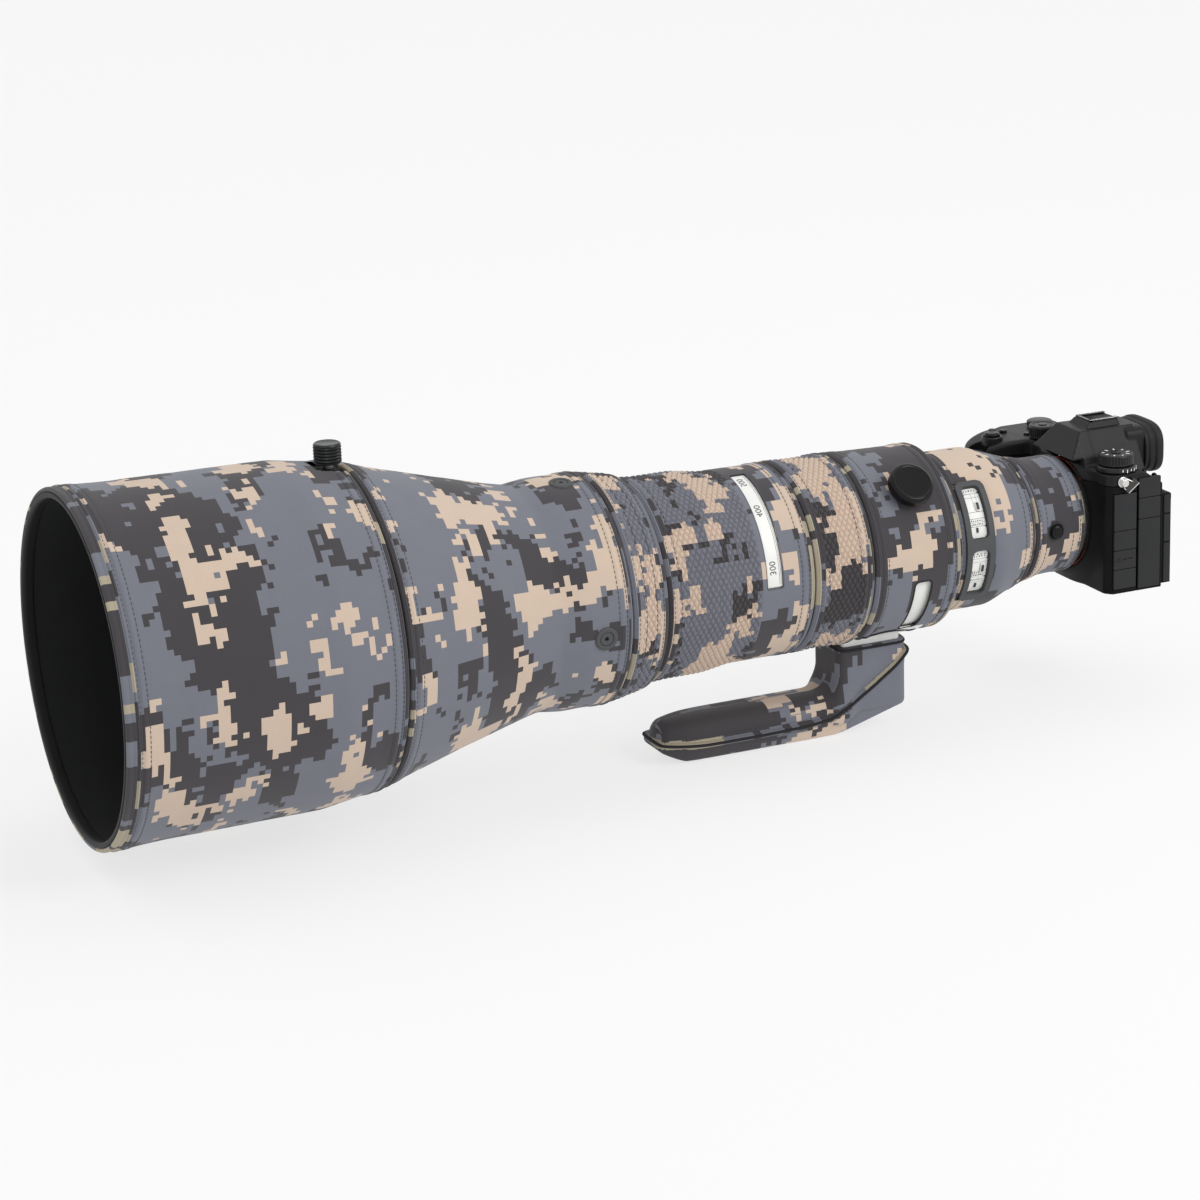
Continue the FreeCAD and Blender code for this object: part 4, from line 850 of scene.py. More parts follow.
def sleeve_stitches(key, name, body, radius, holes):
    """Two rows of stitches near each end of a sleeve."""
    start, end = sleeve_span(key)
    vertices, faces = [], []
    for distance in (start + 3.7, start + 8.5, end - 3.7, end - 8.5):
        count = int(2 * math.pi * radius(distance, 0.0) / (STITCH_LONG + STITCH_GAP))
        span = 360.0 * STITCH_LONG / (STITCH_LONG + STITCH_GAP) / count
        for index in range(count):
            angle = SEAM_ANGLE + 360.0 * index / count
            if any(hole(distance, angle + span * 0.5) for hole in holes):
                continue
            base = len(vertices)
            for along, lift in STITCH_SHAPE:
                for across in (-STITCH_HALF_WIDE, STITCH_HALF_WIDE):
                    place = angle + span * along
                    vertices.append(lens_point(distance + across, place, radius(distance, place) + lift))
            faces += [grid_face(2, base // 2 + row, base // 2 + row + 1, 0, 1) for row in range(3)]
    mesh = mesh_from(f"{name}_stitches", vertices, faces)
    reworked(mesh, thicken_thread)
    return finish_piece(f"{name}_stitches", mesh, THREAD, body, "cover_fabric", smooth=60.0)


def round_hole(distance, angle, size, key):
    """True inside a round cut of that radius in a sleeve."""
    reach = RADIUS[key](distance)

    def inside(along, turn):
        across = math.radians((turn - angle + 180.0) % 360.0 - 180.0) * reach
        return math.hypot(along - distance, across) < size

    return inside


def slot_hole(low, high, first, last):
    """True inside a cut between two distances and two angles."""
    centre, half = (first + last) / 2, (last - first) / 2

    def inside(along, turn):
        across = (turn - centre + 180.0) % 360.0 - 180.0
        return low < along < high and abs(across) < half

    return inside


def densified(loop, spacing):
    """A closed outline with points added along its long sides."""
    dense = []
    for before, after in zip(loop, loop[1:] + loop[:1]):
        parts = max(1, int(math.dist(before, after) / spacing))
        for part in range(parts):
            t = part / parts
            dense.append((before[0] + (after[0] - before[0]) * t, before[1] + (after[1] - before[1]) * t))
    return dense


def bound_edge(name, radius, low, high, first, last, corner, thickness, lift, material, body, slot, flat=0.7):
    """A rolled edge round a round-cornered opening in a sleeve."""
    reach = radius((low + high) / 2, (first + last) / 2)
    width = math.radians(last - first) * reach
    path, normals = [], []
    for across, along in densified(rounded_outline(0, width, low, high, corner), 1.5):
        angle = first + math.degrees(across / reach)
        path.append(lens_point(along, angle, radius(along, angle) + lift))
        normals.append(lens_outward(angle))
    work = tube_work(path, thickness, 10, closed=True, flat=flat, normals=normals)
    return piece_from(name, work, material, body, slot, smooth=60.0)


# ------------------------------------------------------- the lens's sleeves

def add_sleeve(
    key, name, material, body, node, ribs=None, holes=(), a_step=2.0, d_step=1.4, a_lines=(),
    d_lines=(),
):
    """A sleeve with its tape and stitches; the size of its cloth laid flat is worked out but not used."""
    radius = sleeve_surface(key, ribs)
    rows = sleeve_rows(*sleeve_span(key), d_step, ribs, d_lines)
    angles = sleeve_angles(a_step, a_lines)
    piece = sleeve_cloth(key, name, material, body, node, radius, rows, angles, holes)
    tape = binding_tape(key, name, body, radius, holes)
    threads = sleeve_stitches(key, name, body, radius, holes)
    length = sum(math.dist(a, b) for a, b in zip(LENGTHWISE[key], LENGTHWISE[key][1:]))
    flat = (2 * math.pi * mean_radius(key) * MM, length * MM)


MOUNT_BUTTON_AT = (24.0, 0.0)
COLLAR_KNOB_AT = (127.0, 46.0)
HOLD_BUTTONS_AT = 335.0
HOLD_BUTTON_ANGLES = {"port": -8.0, "top": 82.0, "grip": 172.0, "under": 262.0}

add_sleeve(
    "mount", "mount_sleeve", CAMO_REAR, "barrel", "mount_cover",
    holes=[round_hole(*MOUNT_BUTTON_AT, 4.9, "mount")], d_step=1.0,
)
add_sleeve(
    "rear", "rear_barrel_sleeve", CAMO_REAR, "barrel", "rear_barrel_cover",
    holes=[slot_hole(73.2, 92.8, -42.2, 50.2)], a_lines=(-42.2, 50.2), d_lines=(73.2, 92.8),
)


def foot_opening_edge(distance):
    """The angle of the upper edge of the opening that lets the foot through."""
    return -63.0 + 7.0 * math.sin(math.pi * min(1.0, max(0.0, (distance - 120.0) / 38.0))) ** 0.8


def foot_opening(distance, angle):
    """True inside the opening for the foot's neck."""
    across = abs((angle + 90.0 + 180.0) % 360.0 - 180.0)
    return distance > 115.0 and across < foot_opening_edge(distance) + 90.0


add_sleeve(
    "collar", "collar_sleeve", CAMO_RINGS, "support", "collar_cover",
    holes=[slot_hole(119.0, 130.0, -56.0, -12.0), round_hole(*COLLAR_KNOB_AT, 4.6, "collar"), foot_opening],
    a_step=1.0, a_lines=(-56.0, -12.0), d_lines=(119.0, 130.0, 115.0), d_step=1.0,
)
add_sleeve(
    "focus", "focus_sleeve", CAMO_RIBBED, "focus_band", "focus_ring_cover",
    ribs=FOCUS_RIBS, a_step=0.75,
)
add_sleeve(
    "zoom", "zoom_sleeve", CAMO_RIBBED, "zoom_band", "zoom_ring_cover",
    ribs=ZOOM_RIBS, a_step=0.75, holes=[slot_hole(218.0, 228.0, 0.0, 82.0)],
    a_lines=(0.0, 82.0), d_lines=(218.0, 228.0),
)
add_sleeve(
    "function", "function_sleeve", CAMO_RIBBED, "function_band", "function_ring_cover",
    ribs=FUNCTION_RIBS, a_step=0.75,
)
add_sleeve(
    "front", "front_barrel_sleeve", CAMO, "barrel", "front_barrel_cover",
    holes=[round_hole(HOLD_BUTTONS_AT, angle, 5.2, "front") for angle in HOLD_BUTTON_ANGLES.values()],
    a_step=1.0,
)


def knob_cut(distance, angle):
    """True inside the cut-out round the hood's knob, which narrows forward."""
    across = abs((angle - 90.0 + 180.0) % 360.0 - 180.0)
    return distance < 481.5 and across < 8.5 - max(0.0, distance - 466.0) * 0.16


mouth_binding = lens_turned(
    "hood_mouth_binding",
    [(618.0, 99.6), (618.6, 100.9), (620.0, 101.3), (621.3, 101.2), (621.9, 100.9), (622.5, 101.3),
     (624.2, 101.4), (625.3, 101.0), (625.8, 100.1),
     (625.6, 99.2), (624.6, 98.7), (618.0, 98.7)],
    TAPE, "hood", "cover_fabric", (), radius=0.25, steps=240,
)
add_sleeve(
    "hood", "hood_sleeve", CAMO_FRONT, "hood", "hood_cover",
    holes=[knob_cut], a_step=1.0, d_lines=(481.5,),
)

# -------------------------------------------------------------- lens hood

lens_turned(
    "hood_tube",
    [(463.8, 89.0), (463.8, 91.6), (476.0, 93.2), (499.0, 96.8), (590.0, 97.6), (619.4, 98.5), (619.4, 95.9),
     (590.0, 94.7), (545.0, 94.2), (544.4, 93.7), (543.2, 93.7), (542.6, 94.2), (503.0, 93.9), (488.0, 89.0)],
    HOOD_BLACK, "hood", "hood_carbon", ("hood_shell",), radius=0.4, steps=240,
)
lens_turned(
    "hood_bumper",
    [
        (619.5, 95.2), (624.0, 95.1), (625.4, 95.5), (626.0, 96.4), (626.0, 97.9), (625.5, 98.6),
        (624.6, 98.75), (619.5, 98.7),
    ],
    SOFT_RUBBER, "hood", "rubber_black", ("hood_lip",), radius=0.5, steps=240,
)

# ------------------------------------------------------------- lens front

lens_turned(
    "front_barrel_tube",
    [(318.3, 52.2), (318.3, 65.7), (326.0, 65.7), (328.0, 63.6), (342.0, 63.6), (344.0, 65.7), (346.0, 65.7),
     (361.0, 63.9), (376.0, 67.3), (408.0, 75.7), (440.0, 84.6), (459.0, 90.2),
     (462.6, 91.0), (463.2, 88.3), (486.2, 88.3), (486.9, 87.6), (486.9, 80.2), (450.0, 80.1), (430.0, 74.0),
     (380.0, 61.0), (330.0, 60.0)],
    HOOD_BLACK, "barrel", "lens_white", ("front_barrel",), radius=0.3, steps=192,
)
lens_turned(
    "front_name_ring",
    [(471.0, 79.7), (485.0, 79.7), (485.5, 79.2), (485.5, 78.4), (484.4, 78.0), (482.0, 77.9), (481.6, 77.5),
     (479.0, 77.4),
     (478.6, 77.0), (476.0, 76.9), (475.6, 76.5), (473.0, 76.4), (471.0, 76.2)],
    BODY_BLACK, "barrel", "body_plastic", ("front_ring",), radius=0.25, steps=192,
)
dome = [(450.0, 0.0), (450.0, 40.0), (450.0, 79.2), (458.0, 79.5), (459.0, 78.8)]
dome += [(469.0 - 10.0 * (reach / 79.0) ** 2, reach) for reach in (74, 68, 60, 52, 44, 36, 28, 20, 12, 6, 0)]
lens_turned(
    "front_glass", dome, GLASS, "barrel", "optical_glass", ("front_element",), radius=0, steps=160,
    closed=False,
)
lens_turned(
    "front_cell_baffle",
    [
        (404.0, 20.0), (404.0, 73.0), (446.0, 79.9), (448.0, 79.9), (448.0, 78.0), (430.0, 71.0),
        (429.0, 69.6), (420.0, 66.6), (419.0, 65.2), (408.0, 61.0), (406.0, 20.0),
    ],
    HOOD_BLACK, "barrel", "glass_cell", radius=0.2, steps=160,
)

# -------------------------------------------------- knobs, buttons, window

def knurl(count, depth, rows):
    """Crossed knurling on the rows of a knob's rim."""

    def swell(row, degrees):
        if not rows[0] <= row <= rows[1]:
            return 0.0
        first = degrees * count / 360.0 + (row - rows[0]) * 0.5
        second = degrees * count / 360.0 - (row - rows[0]) * 0.5
        reach = 0.5 - max(abs(first % 1.0 - 0.5), abs(second % 1.0 - 0.5))
        return depth * min(1.0, reach / 0.3) - depth

    return swell


def ribbed(count, depth, rows, share=0.5):
    """Straight ribs along a knob's rim."""

    def swell(row, degrees):
        if not rows[0] <= row <= rows[1]:
            return 0.0
        phase = (degrees * count / 360.0) % 1.0
        return 0.0 if phase < share else -depth

    return swell


hood_knob_at = lens_point(471.0, 90.0, 0.0)
rim = [(97.4 + 0.9 * row, 8.0 if row % 2 else 7.55) for row in range(11)]
line = [
    (96.4, 0.0), (96.4, 7.2), (97.0, 7.9), *rim, (106.9, 7.9), (107.6, 7.5), (108.0, 6.9), (107.8, 6.3),
    (107.8, 0.0),
]
spun = spin(line, hood_knob_at, UP, PORT, 216, swell=knurl(54, 0.35, (3, 13)))
closed_piece("hood_lock_grip", spun, KNURL_BLACK, "hood_knob", "knob_matt", ("hood_lock_knob",), smooth=20.0)
knob(
    "hood_lock_stem", [(93.0, 0.0), (93.0, 3.0), (96.6, 3.0), (96.6, 0.0)], hood_knob_at, UP, STEEL,
    "hood_knob", "knob_matt", steps=32,
)
knob(
    "collar_lock_grip",
    [(57.9, 0.0), (57.9, 11.6), (58.5, 12.1), (59.6, 12.2), (60.2, 13.2), (61.0, 13.45), (64.6, 13.45),
     (65.6, 13.1),
     (66.4, 12.0), (66.6, 11.2), (66.3, 10.6), (66.3, 0.0)],
    lens_point(*COLLAR_KNOB_AT, 0.0), lens_outward(COLLAR_KNOB_AT[1]), GLOSS_BLACK, "collar_knob",
    "knob_gloss",
    ("collar_lock_knob",), steps=128, across=FORWARD,
)


def grommet(name, ring, base, axis, material):
    """A rubber ring round a button on the lens."""
    closed_piece(
        name, spin(ring, base, axis, FORWARD, 64, closed=True), material, "barrel", "rubber_grey",
        smooth=50.0,
    )


for name, angle in HOLD_BUTTON_ANGLES.items():
    axis = lens_outward(angle)
    base = lens_point(HOLD_BUTTONS_AT, angle, 0.0)
    knob(
        f"hold_button_{name}_cap",
        [
            (65.3, 0.0), (65.3, 4.1), (68.5, 4.1), (68.85, 3.8), (68.95, 1.5), (68.5, 1.15), (67.6, 1.1),
            (67.6, 0.0),
        ],
        base, axis, GREY_RUBBER, f"hold_{name}", "rubber_grey", (f"hold_button_{name}",), radius=0.3,
        steps=64,
        across=FORWARD,
    )
    knob(
        f"hold_button_{name}_dimple", [(67.3, 0.0), (67.3, 1.05), (67.75, 1.05), (67.75, 0.0)], base, axis,
        GLOSS_BLACK, f"hold_{name}", "rubber_grey", steps=32, across=FORWARD,
    )
    ring = [(67.2, 4.25), (68.8, 4.25), (69.05, 4.5), (69.1, 5.6), (68.95, 6.5), (68.5, 6.95), (67.2, 7.0)]
    grommet(f"hold_grommet_{name}", ring, base, axis, GREY_RUBBER)

mount_button_base = lens_point(*MOUNT_BUTTON_AT, 0.0)
knob(
    "mount_button_cap", [
        (34.2, 0.0), (34.2, 4.2), (38.5, 4.2), (39.3, 3.9), (39.8, 3.0), (40.0, 1.6), (40.05, 0.0),
    ],
    mount_button_base, PORT, GLOSS_BLACK, "rear_key", "rubber_black", ("mount_button",), radius=0.3, steps=64,
    across=FORWARD,
)
ring = [(35.6, 4.35), (37.3, 4.4), (37.8, 4.7), (37.8, 5.2), (37.3, 5.5), (35.6, 5.5)]
grommet("mount_button_grommet", ring, mount_button_base, PORT, BUTTON_RUBBER)


PATCH_STEP = 1.2


def lens_patch(
    name, low, high, first, last, base, top, corner, material, body, slot, replaces=(), cuts=(), lip=0.4,
):
    """A curved plate on the lens, round-cornered, as thick as base to top, with round-cornered windows."""

    def outline(low, high, start, end, radius):
        left, right = (math.radians(angle - first) * top for angle in (start, end))
        return densified(rounded_outline(left, right, low, high, radius), PATCH_STEP)

    work = bmesh.new()
    edges = []
    for loop in [outline(low, high, first, last, corner)] + [outline(*cut) for cut in cuts]:
        made = [work.verts.new((x, y, 0.0)) for x, y in loop]
        edges += [work.edges.new((made[index], made[(index + 1) % len(made)])) for index in range(len(made))]
    bmesh.ops.triangle_fill(work, edges=edges, use_beauty=True)
    for place in np.arange(PATCH_STEP * 2, math.radians(last - first) * top, PATCH_STEP * 2):
        everything = work.verts[:] + work.edges[:] + work.faces[:]
        bmesh.ops.bisect_plane(work, geom=everything, plane_co=(place, 0, 0), plane_no=(1, 0, 0))
    bmesh.ops.recalc_face_normals(work, faces=work.faces)
    if work.faces[0].normal.z < 0:
        bmesh.ops.reverse_faces(work, faces=work.faces[:])
    raised = bmesh.ops.extrude_face_region(work, geom=work.faces[:])
    upper = {item for item in raised["geom"] if isinstance(item, bmesh.types.BMVert)}
    for vertex in upper:
        vertex.co.z = 1.0
    bmesh.ops.recalc_face_normals(work, faces=work.faces)
    rim = [
        edge for edge in work.edges
        if edge.verts[0] in upper and edge.verts[1] in upper
        and any(abs(face.normal.z) < 0.5 for face in edge.link_faces)
    ]
    for vertex in work.verts:
        angle = first + math.degrees(vertex.co.x / top)
        vertex.co = lens_point(vertex.co.y, angle, top if vertex in upper else base)
    bevel_edges(work, rim, lip)
    return piece_from(name, work, material, body, slot, replaces)


SWITCH_WINDOWS = {"upper": (77.0, 89.0, 8.0, 46.0), "lower": (77.0, 89.0, -36.0, 0.0)}
WINDOW_CORNER = 3.4
# painted shade: the plate is black so the gaps round the white switch blocks show as shadow
lens_patch(
    "switch_panel_plate", 75.7, 90.3, -39.0, 47.0, 46.4, 47.0, 2.0, BINDING_BLACK, "barrel", "switch_white",
    ("switch_panel",), lip=0.1,
)
lens_patch(
    "switch_frame", 73.5, 92.5, -42.0, 50.0, 48.0, 50.5, 5.0, GREY_RUBBER, "barrel", "rubber_grey", (
        "switch_bezel",
    ),
    cuts=[(*window, WINDOW_CORNER) for window in SWITCH_WINDOWS.values()], lip=0.9,
)


def lens_bars(name, bars, base, top, material, body, slot="switch_white"):
    """Small raised bars on the lens, each given as (low, high, first, last)."""
    vertices, faces = [], []
    for low, high, first, last in bars:
        steps = max(1, int((last - first) / 3.0) + 1)
        start = len(vertices)
        for step in range(steps + 1):
            angle = first + (last - first) * step / steps
            for level in (base, top):
                for distance in (low, high):
                    vertices.append(lens_point(distance, angle, level))
        for step in range(steps):
            a, b = start + step * 4, start + step * 4 + 4
            faces += [
                (a + 2, a + 3, b + 3, b + 2), (a, b, b + 1, a + 1), (a, a + 2, b + 2, b),
                (a + 1, b + 1, b + 3, a + 3),
            ]
        faces += [
            (start, start + 1, start + 3, start + 2),
            (start + steps * 4, start + steps * 4 + 2, start + steps * 4 + 3, start + steps * 4 + 1),
        ]
    work = bmesh.new()
    work.from_mesh(mesh_from(name, vertices, faces))
    bmesh.ops.recalc_face_normals(work, faces=work.faces)
    return piece_from(name, work, material, body, slot, smooth=0)


SWITCH_BLOCKS = {
    "upper": [(41.2, 45.4), (27.4, 40.9), (22.6, 27.1), (17.0, 22.3), (8.7, 16.7)],
    "lower": [(-6.6, -0.7), (-16.4, -6.9), (-21.4, -16.7), (-35.3, -21.7)],
}
FINE_LINES = [
    (82.8, 82.92, 27.8, 40.6), (80.0, 80.1, 27.8, 40.6), (77.9, 88.0, 37.9, 38.1), (79.6, 79.7, 17.4, 22.0),
    (77.9, 88.0, 19.6, 19.75), (77.9, 88.0, -9.3, -9.2), (82.2, 82.32, -16.0, -9.6),
    (77.9, 88.0, -18.9, -18.8),
    (78.0, 88.0, -26.3, -26.2),
]
MARK_COLUMNS = ((43.3, 5), (20.8, 6), (18.2, 7), (-3.4, 4), (-4.9, 5), (-17.8, 6), (-20.1, 7), (-24.2, 6))
for name, blocks in SWITCH_BLOCKS.items():
    for index, (first, last) in enumerate(blocks):
        corner = 1.6 if index in (0, len(blocks) - 1) else 0.25
        lens_patch(
            f"{name}_switch_block_{index}", 77.5, 88.2, first, last, 46.9, 47.8, corner, LENS_WHITE,
            "barrel", "switch_white", lip=0.18,
        )
marks = []
for angle, count in MARK_COLUMNS:
    for place in range(count):
        middle = 79.6 + 7.0 * place / max(1, count - 1)
        marks.append((middle - 0.28, middle + 0.28, angle - 0.32, angle + 0.32 + 0.25 * (place % 3)))
lens_bars("switch_panel_lines", FINE_LINES, 47.6, 47.86, GREY_RUBBER, "barrel")
lens_bars("switch_panel_marks", marks, 47.6, 47.9, BUTTON_RUBBER, "barrel")
lens_bars(
    "switch_panel_slots", [(83.2, 84.3, 12.6, 16.0), (82.4, 83.6, -31.0, -27.4)], 47.7, 48.6, MARK_BLACK,
    "barrel",
)
# black liners: the bezel's dark inner wall, with painted shade of the gap at the foot of each window
for name, window in SWITCH_WINDOWS.items():
    bound_edge(
        f"{name}_window_wall_and_painted_shade", lambda distance, angle: 48.2, *window, WINDOW_CORNER, 0.42, 0.0, MARK_BLACK,
        "barrel", "rubber_grey", flat=1.6,
    )
for name, middle in (("upper", 31.0), ("lower", -14.0)):
    lens_patch(
        f"{name}_switch_cap", 79.2, 82.1, middle - 3.5, middle + 3.5, 47.9, 48.7, 0.8, LENS_WHITE,
        f"{name}_key",
        "switch_white", (f"{name}_switch",), lip=0.2,
    )
    lens_bars(
        f"{name}_switch_nib", [(80.2, 81.5, middle - 2.4, middle + 2.6)], 48.5, 49.5, MARK_BLACK,
        f"{name}_key",
    )

# --------------------------------------------------------- zoom scale strip

SCALE_TOP = 56.2
lens_patch(
    "zoom_scale_strip", 218.3, 227.7, 0.6, 81.4, 54.6, SCALE_TOP, 1.0, LENS_WHITE, "zoom_band", "lens_white",
    lip=0.2,
)
lens_bars(
    "zoom_scale_lines", [(218.85, 219.0, 2.0, 80.0), (219.75, 219.9, 2.0, 80.0)], 56.1, 56.28, BUTTON_RUBBER,
    "zoom_band", "lens_white",
)


def wrapped_figure(text, angle, distance=223.9, size=5.6):
    """A raised figure on the zoom scale; it reads round the lens."""
    name = f"zoom_figure_{text}"
    curve = bpy.data.curves.new(f"{name}_curve", "FONT")
    curve.body = text
    curve.size = size
    curve.align_x = "CENTER"
    curve.align_y = "CENTER"
    curve.extrude = 0.06
    curve.resolution_u = 3
    holder = bpy.data.objects.new(f"{name}_curve", curve)
    bpy.context.scene.collection.objects.link(holder)
    bpy.context.view_layer.update()
    mesh = bpy.data.meshes.new_from_object(holder.evaluated_get(bpy.context.evaluated_depsgraph_get()))
    bpy.data.objects.remove(holder)
    bpy.data.curves.remove(curve)
    for vertex in mesh.vertices:
        x, y, z = vertex.co
        vertex.co = lens_point(distance - y, angle + math.degrees(x / SCALE_TOP), SCALE_TOP + z)
    mesh.name = name
    finish_piece(name, mesh, MARK_BLACK, "zoom_band", "lens_white", smooth=0)


for text, angle in (("500", 73.0), ("400", 48.0), ("300", 12.0)):
    wrapped_figure(text, angle)

# ---------------------------------------------- edges bound round openings

collar_surface = sleeve_surface("collar")
bound_edge(
    "zoom_window_edge", sleeve_surface("zoom"), 217.6, 228.4, -0.4, 82.4, 1.2, 0.5, -0.3, THREAD,
    "zoom_band", "cover_fabric",
)
bound_edge(
    "collar_window_edge", collar_surface, 118.7, 130.3, -56.4, -11.6, 3.0, 0.6, -0.1, BINDING_BLACK,
    "support", "cover_fabric",
)


def foot_opening_side(way):
    """Places along one side of the opening for the foot."""
    run = np.linspace(156.6, 115.0, 46) if way > 0 else np.linspace(115.0, 156.6, 46)
    for distance in run:
        angle = -90.0 + way * (foot_opening_edge(distance) + 90.6)
        yield lens_point(distance, angle, collar_surface(distance, -90.0) + 0.1)


rear_side = [
    lens_point(114.6, angle, collar_surface(114.6, angle) + 0.1)
    for angle in np.arange(-66.0, -115.0, -3.0)
]
path = [*foot_opening_side(1), *rear_side, *foot_opening_side(-1)]
piece_from("foot_opening_edge", tube_work(path, 0.85), BINDING_BLACK, "support", "cover_fabric", smooth=60.0)


# ------------------------------------------------------------ soft solids

def smooth_max(first, second, soft):
    """The larger of two fields, rounded where they meet."""
    share = np.clip(0.5 + 0.5 * (first - second) / soft, 0.0, 1.0)
    return second + (first - second) * share + soft * share * (1.0 - share)


def smooth_min(first, second, soft):
    return -smooth_max(-first, -second, soft)


def slabs(x, y, z, walls, soft):
    """A rounded convex solid: every wall is (nx, ny, nz, reach), and inside is below zero."""
    field = None
    for nx, ny, nz, reach in walls:
        size = math.sqrt(nx * nx + ny * ny + nz * nz)
        wall = (x * nx + y * ny + z * nz - reach) / size
        field = wall if field is None else smooth_max(field, wall, soft)
    return field


def wall_through(points, axis, toward):
    """A wall along one axis through two points of the other two axes, facing the given way."""
    (a0, b0), (a1, b1) = points
    normal = (b1 - b0, a0 - a1)
    if normal[0] * toward[0] + normal[1] * toward[1] < 0:
        normal = (-normal[0], -normal[1])
    reach = normal[0] * a0 + normal[1] * b0
    full = {"x": (0.0, *normal), "y": (normal[0], 0.0, normal[1]), "z": (*normal, 0.0)}[axis]
    return (*full, reach)


CORNERS = [(i, j, k) for i in (0, 1) for j in (0, 1) for k in (0, 1)]


def field_slope(field, points, small):
    """The field's gradient at points."""
    parts = []
    for offset in np.eye(3) * small:
        parts.append((field(*(points + offset).T) - field(*(points - offset).T)) / (2 * small))
    return np.stack(parts, axis=1)


def onto_surface(field, points, step):
    """Move points onto the field's zero surface, a little at a time."""
    for _ in range(4):
        value = field(points[:, 0], points[:, 1], points[:, 2])
        slope = field_slope(field, points, step * 0.25)
        size = np.maximum((slope**2).sum(1), 0.05)
        move = -slope * (value / size)[:, None]
        length = np.maximum(np.linalg.norm(move, axis=1), 1e-9)
        points += move * np.minimum(1.0, 0.6 * step / length)[:, None] * 0.8


def crossing_means(values, where):
    """For each mixed cell, the mean place in the grid where its edges cross zero."""
    total = np.zeros((len(where), 3))
    count = np.zeros(len(where))
    for first in CORNERS:
        for axis in range(3):
            if first[axis]:
                continue
            second = tuple(1 if index == axis else value for index, value in enumerate(first))
            one = values[tuple(where[:, index] + first[index] for index in range(3))]
            two = values[tuple(where[:, index] + second[index] for index in range(3))]
            cross = (one < 0) != (two < 0)
            share = np.where(cross, one / np.where(one == two, 1.0, one - two), 0.0)
            spot = where + np.array(first, float)
            spot[:, axis] += share
            total[cross] += spot[cross]
            count[cross] += 1
    return total / count[:, None]


def net_faces(inside, number):
    """A square between the four cells round every grid edge that crosses the surface."""
    faces = []
    shape = inside.shape
    for axis in range(3):
        other = [index for index in range(3) if index != axis]
        left = [slice(None)] * 3
        right = [slice(None)] * 3
        left[axis], right[axis] = slice(0, shape[axis] - 1), slice(1, shape[axis])
        spots = np.argwhere(inside[tuple(left)] != inside[tuple(right)])
        fits = np.all(
            [(spots[:, index] >= 1) & (spots[:, index] <= shape[index] - 2) for index in other], axis=0,
        )
        spots = spots[fits]
        corners = []
        for da, db in ((-1, -1), (0, -1), (0, 0), (-1, 0)):
            near = spots.copy()
            near[:, other[0]] += da
            near[:, other[1]] += db
            corners.append(number[near[:, 0], near[:, 1], near[:, 2]])
        quads = np.stack(corners, axis=1)
        flip = inside[spots[:, 0], spots[:, 1], spots[:, 2]] ^ (axis == 1)
        quads[~flip] = quads[~flip][:, ::-1]
        faces.extend(tuple(quad) for quad in quads[quads.min(axis=1) >= 0].tolist())
    return faces


def surface_net(field, low, high, step, place):
    """A mesh of the field's zero surface inside a box, its points moved onto the surface."""
    axes = [np.arange(low[index], high[index] + step, step) for index in range(3)]
    values = field(*np.meshgrid(*axes, indexing="ij"))
    inside = values < 0
    shape = inside.shape
    cell = np.zeros(tuple(count - 1 for count in shape), dtype=int)
    for i, j, k in CORNERS:
        cell += inside[i : shape[0] - 1 + i, j : shape[1] - 1 + j, k : shape[2] - 1 + k]
    mixed = (cell > 0) & (cell < 8)
    where = np.argwhere(mixed)
    number = -np.ones(cell.shape, dtype=int)
    number[mixed] = np.arange(len(where))
    points = crossing_means(values, where) * step + np.array([axis[0] for axis in axes])
    onto_surface(field, points, step)
    return [place(*point) for point in points], net_faces(inside, number), points


def level_loops(points, faces, height):
    """Closed lines on a mesh where height(point) is zero, as lists of points."""
    level = height(points[:, 0], points[:, 1], points[:, 2])
    links = {}
    spots = {}
    for face in faces:
        crossed = []
        for before, after in zip(face, face[1:] + face[:1]):
            if (level[before] < 0) != (level[after] < 0):
                key = (min(before, after), max(before, after))
                if key not in spots:
                    share = level[key[0]] / (level[key[0]] - level[key[1]])
                    spots[key] = points[key[0]] + (points[key[1]] - points[key[0]]) * share
                crossed.append(key)
        if len(crossed) == 2:
            links.setdefault(crossed[0], []).append(crossed[1])
            links.setdefault(crossed[1], []).append(crossed[0])
    loops = []
    while links:
        start = next(iter(links))
        loop, here, before = [start], start, None
        while True:
            following = [key for key in links.get(here, []) if key != before]
            if not following or following[0] == start:
                break
            before, here = here, following[0]
            if here in loop[-3:]:
                break
            loop.append(here)
        for key in loop:
            links.pop(key, None)
        if len(loop) > 8:
            loops.append(np.array([spots[key] for key in loop]))
    return loops


def evened(loop, spacing):
    """A closed line resampled to even spacing and smoothed."""
    line = np.vstack([loop, loop[:1]])
    run = np.concatenate([[0.0], np.cumsum(np.linalg.norm(np.diff(line, axis=0), axis=1))])
    count = max(8, int(run[-1] / spacing))
    at = np.linspace(0, run[-1], count, endpoint=False)
    even = np.stack([np.interp(at, run, line[:, index]) for index in range(3)], axis=1)
    for _ in range(3):
        even = (np.roll(even, 1, 0) + even * 2 + np.roll(even, -1, 0)) / 4
    return even


# ------------------------------------------------------------------- foot

SEAM_LINE = np.array([
    (112.0, -58.0), (117.0, -66.0), (124.0, -73.0), (140.0, -84.0), (156.0, -94.0), (168.0, -100.2),
    (185.0, -102.0), (215.0, -102.6), (250.0, -102.4), (285.0, -100.0),
])


def seam_height(distance):
    """How high the foot cover's seam runs."""
    return np.interp(distance, SEAM_LINE[:, 0], SEAM_LINE[:, 1])


def foot_point(distance, across, height):
    """A place by the foot, in metres."""
    return AXIS_POINT + Vector((across, -distance, height)) * MM


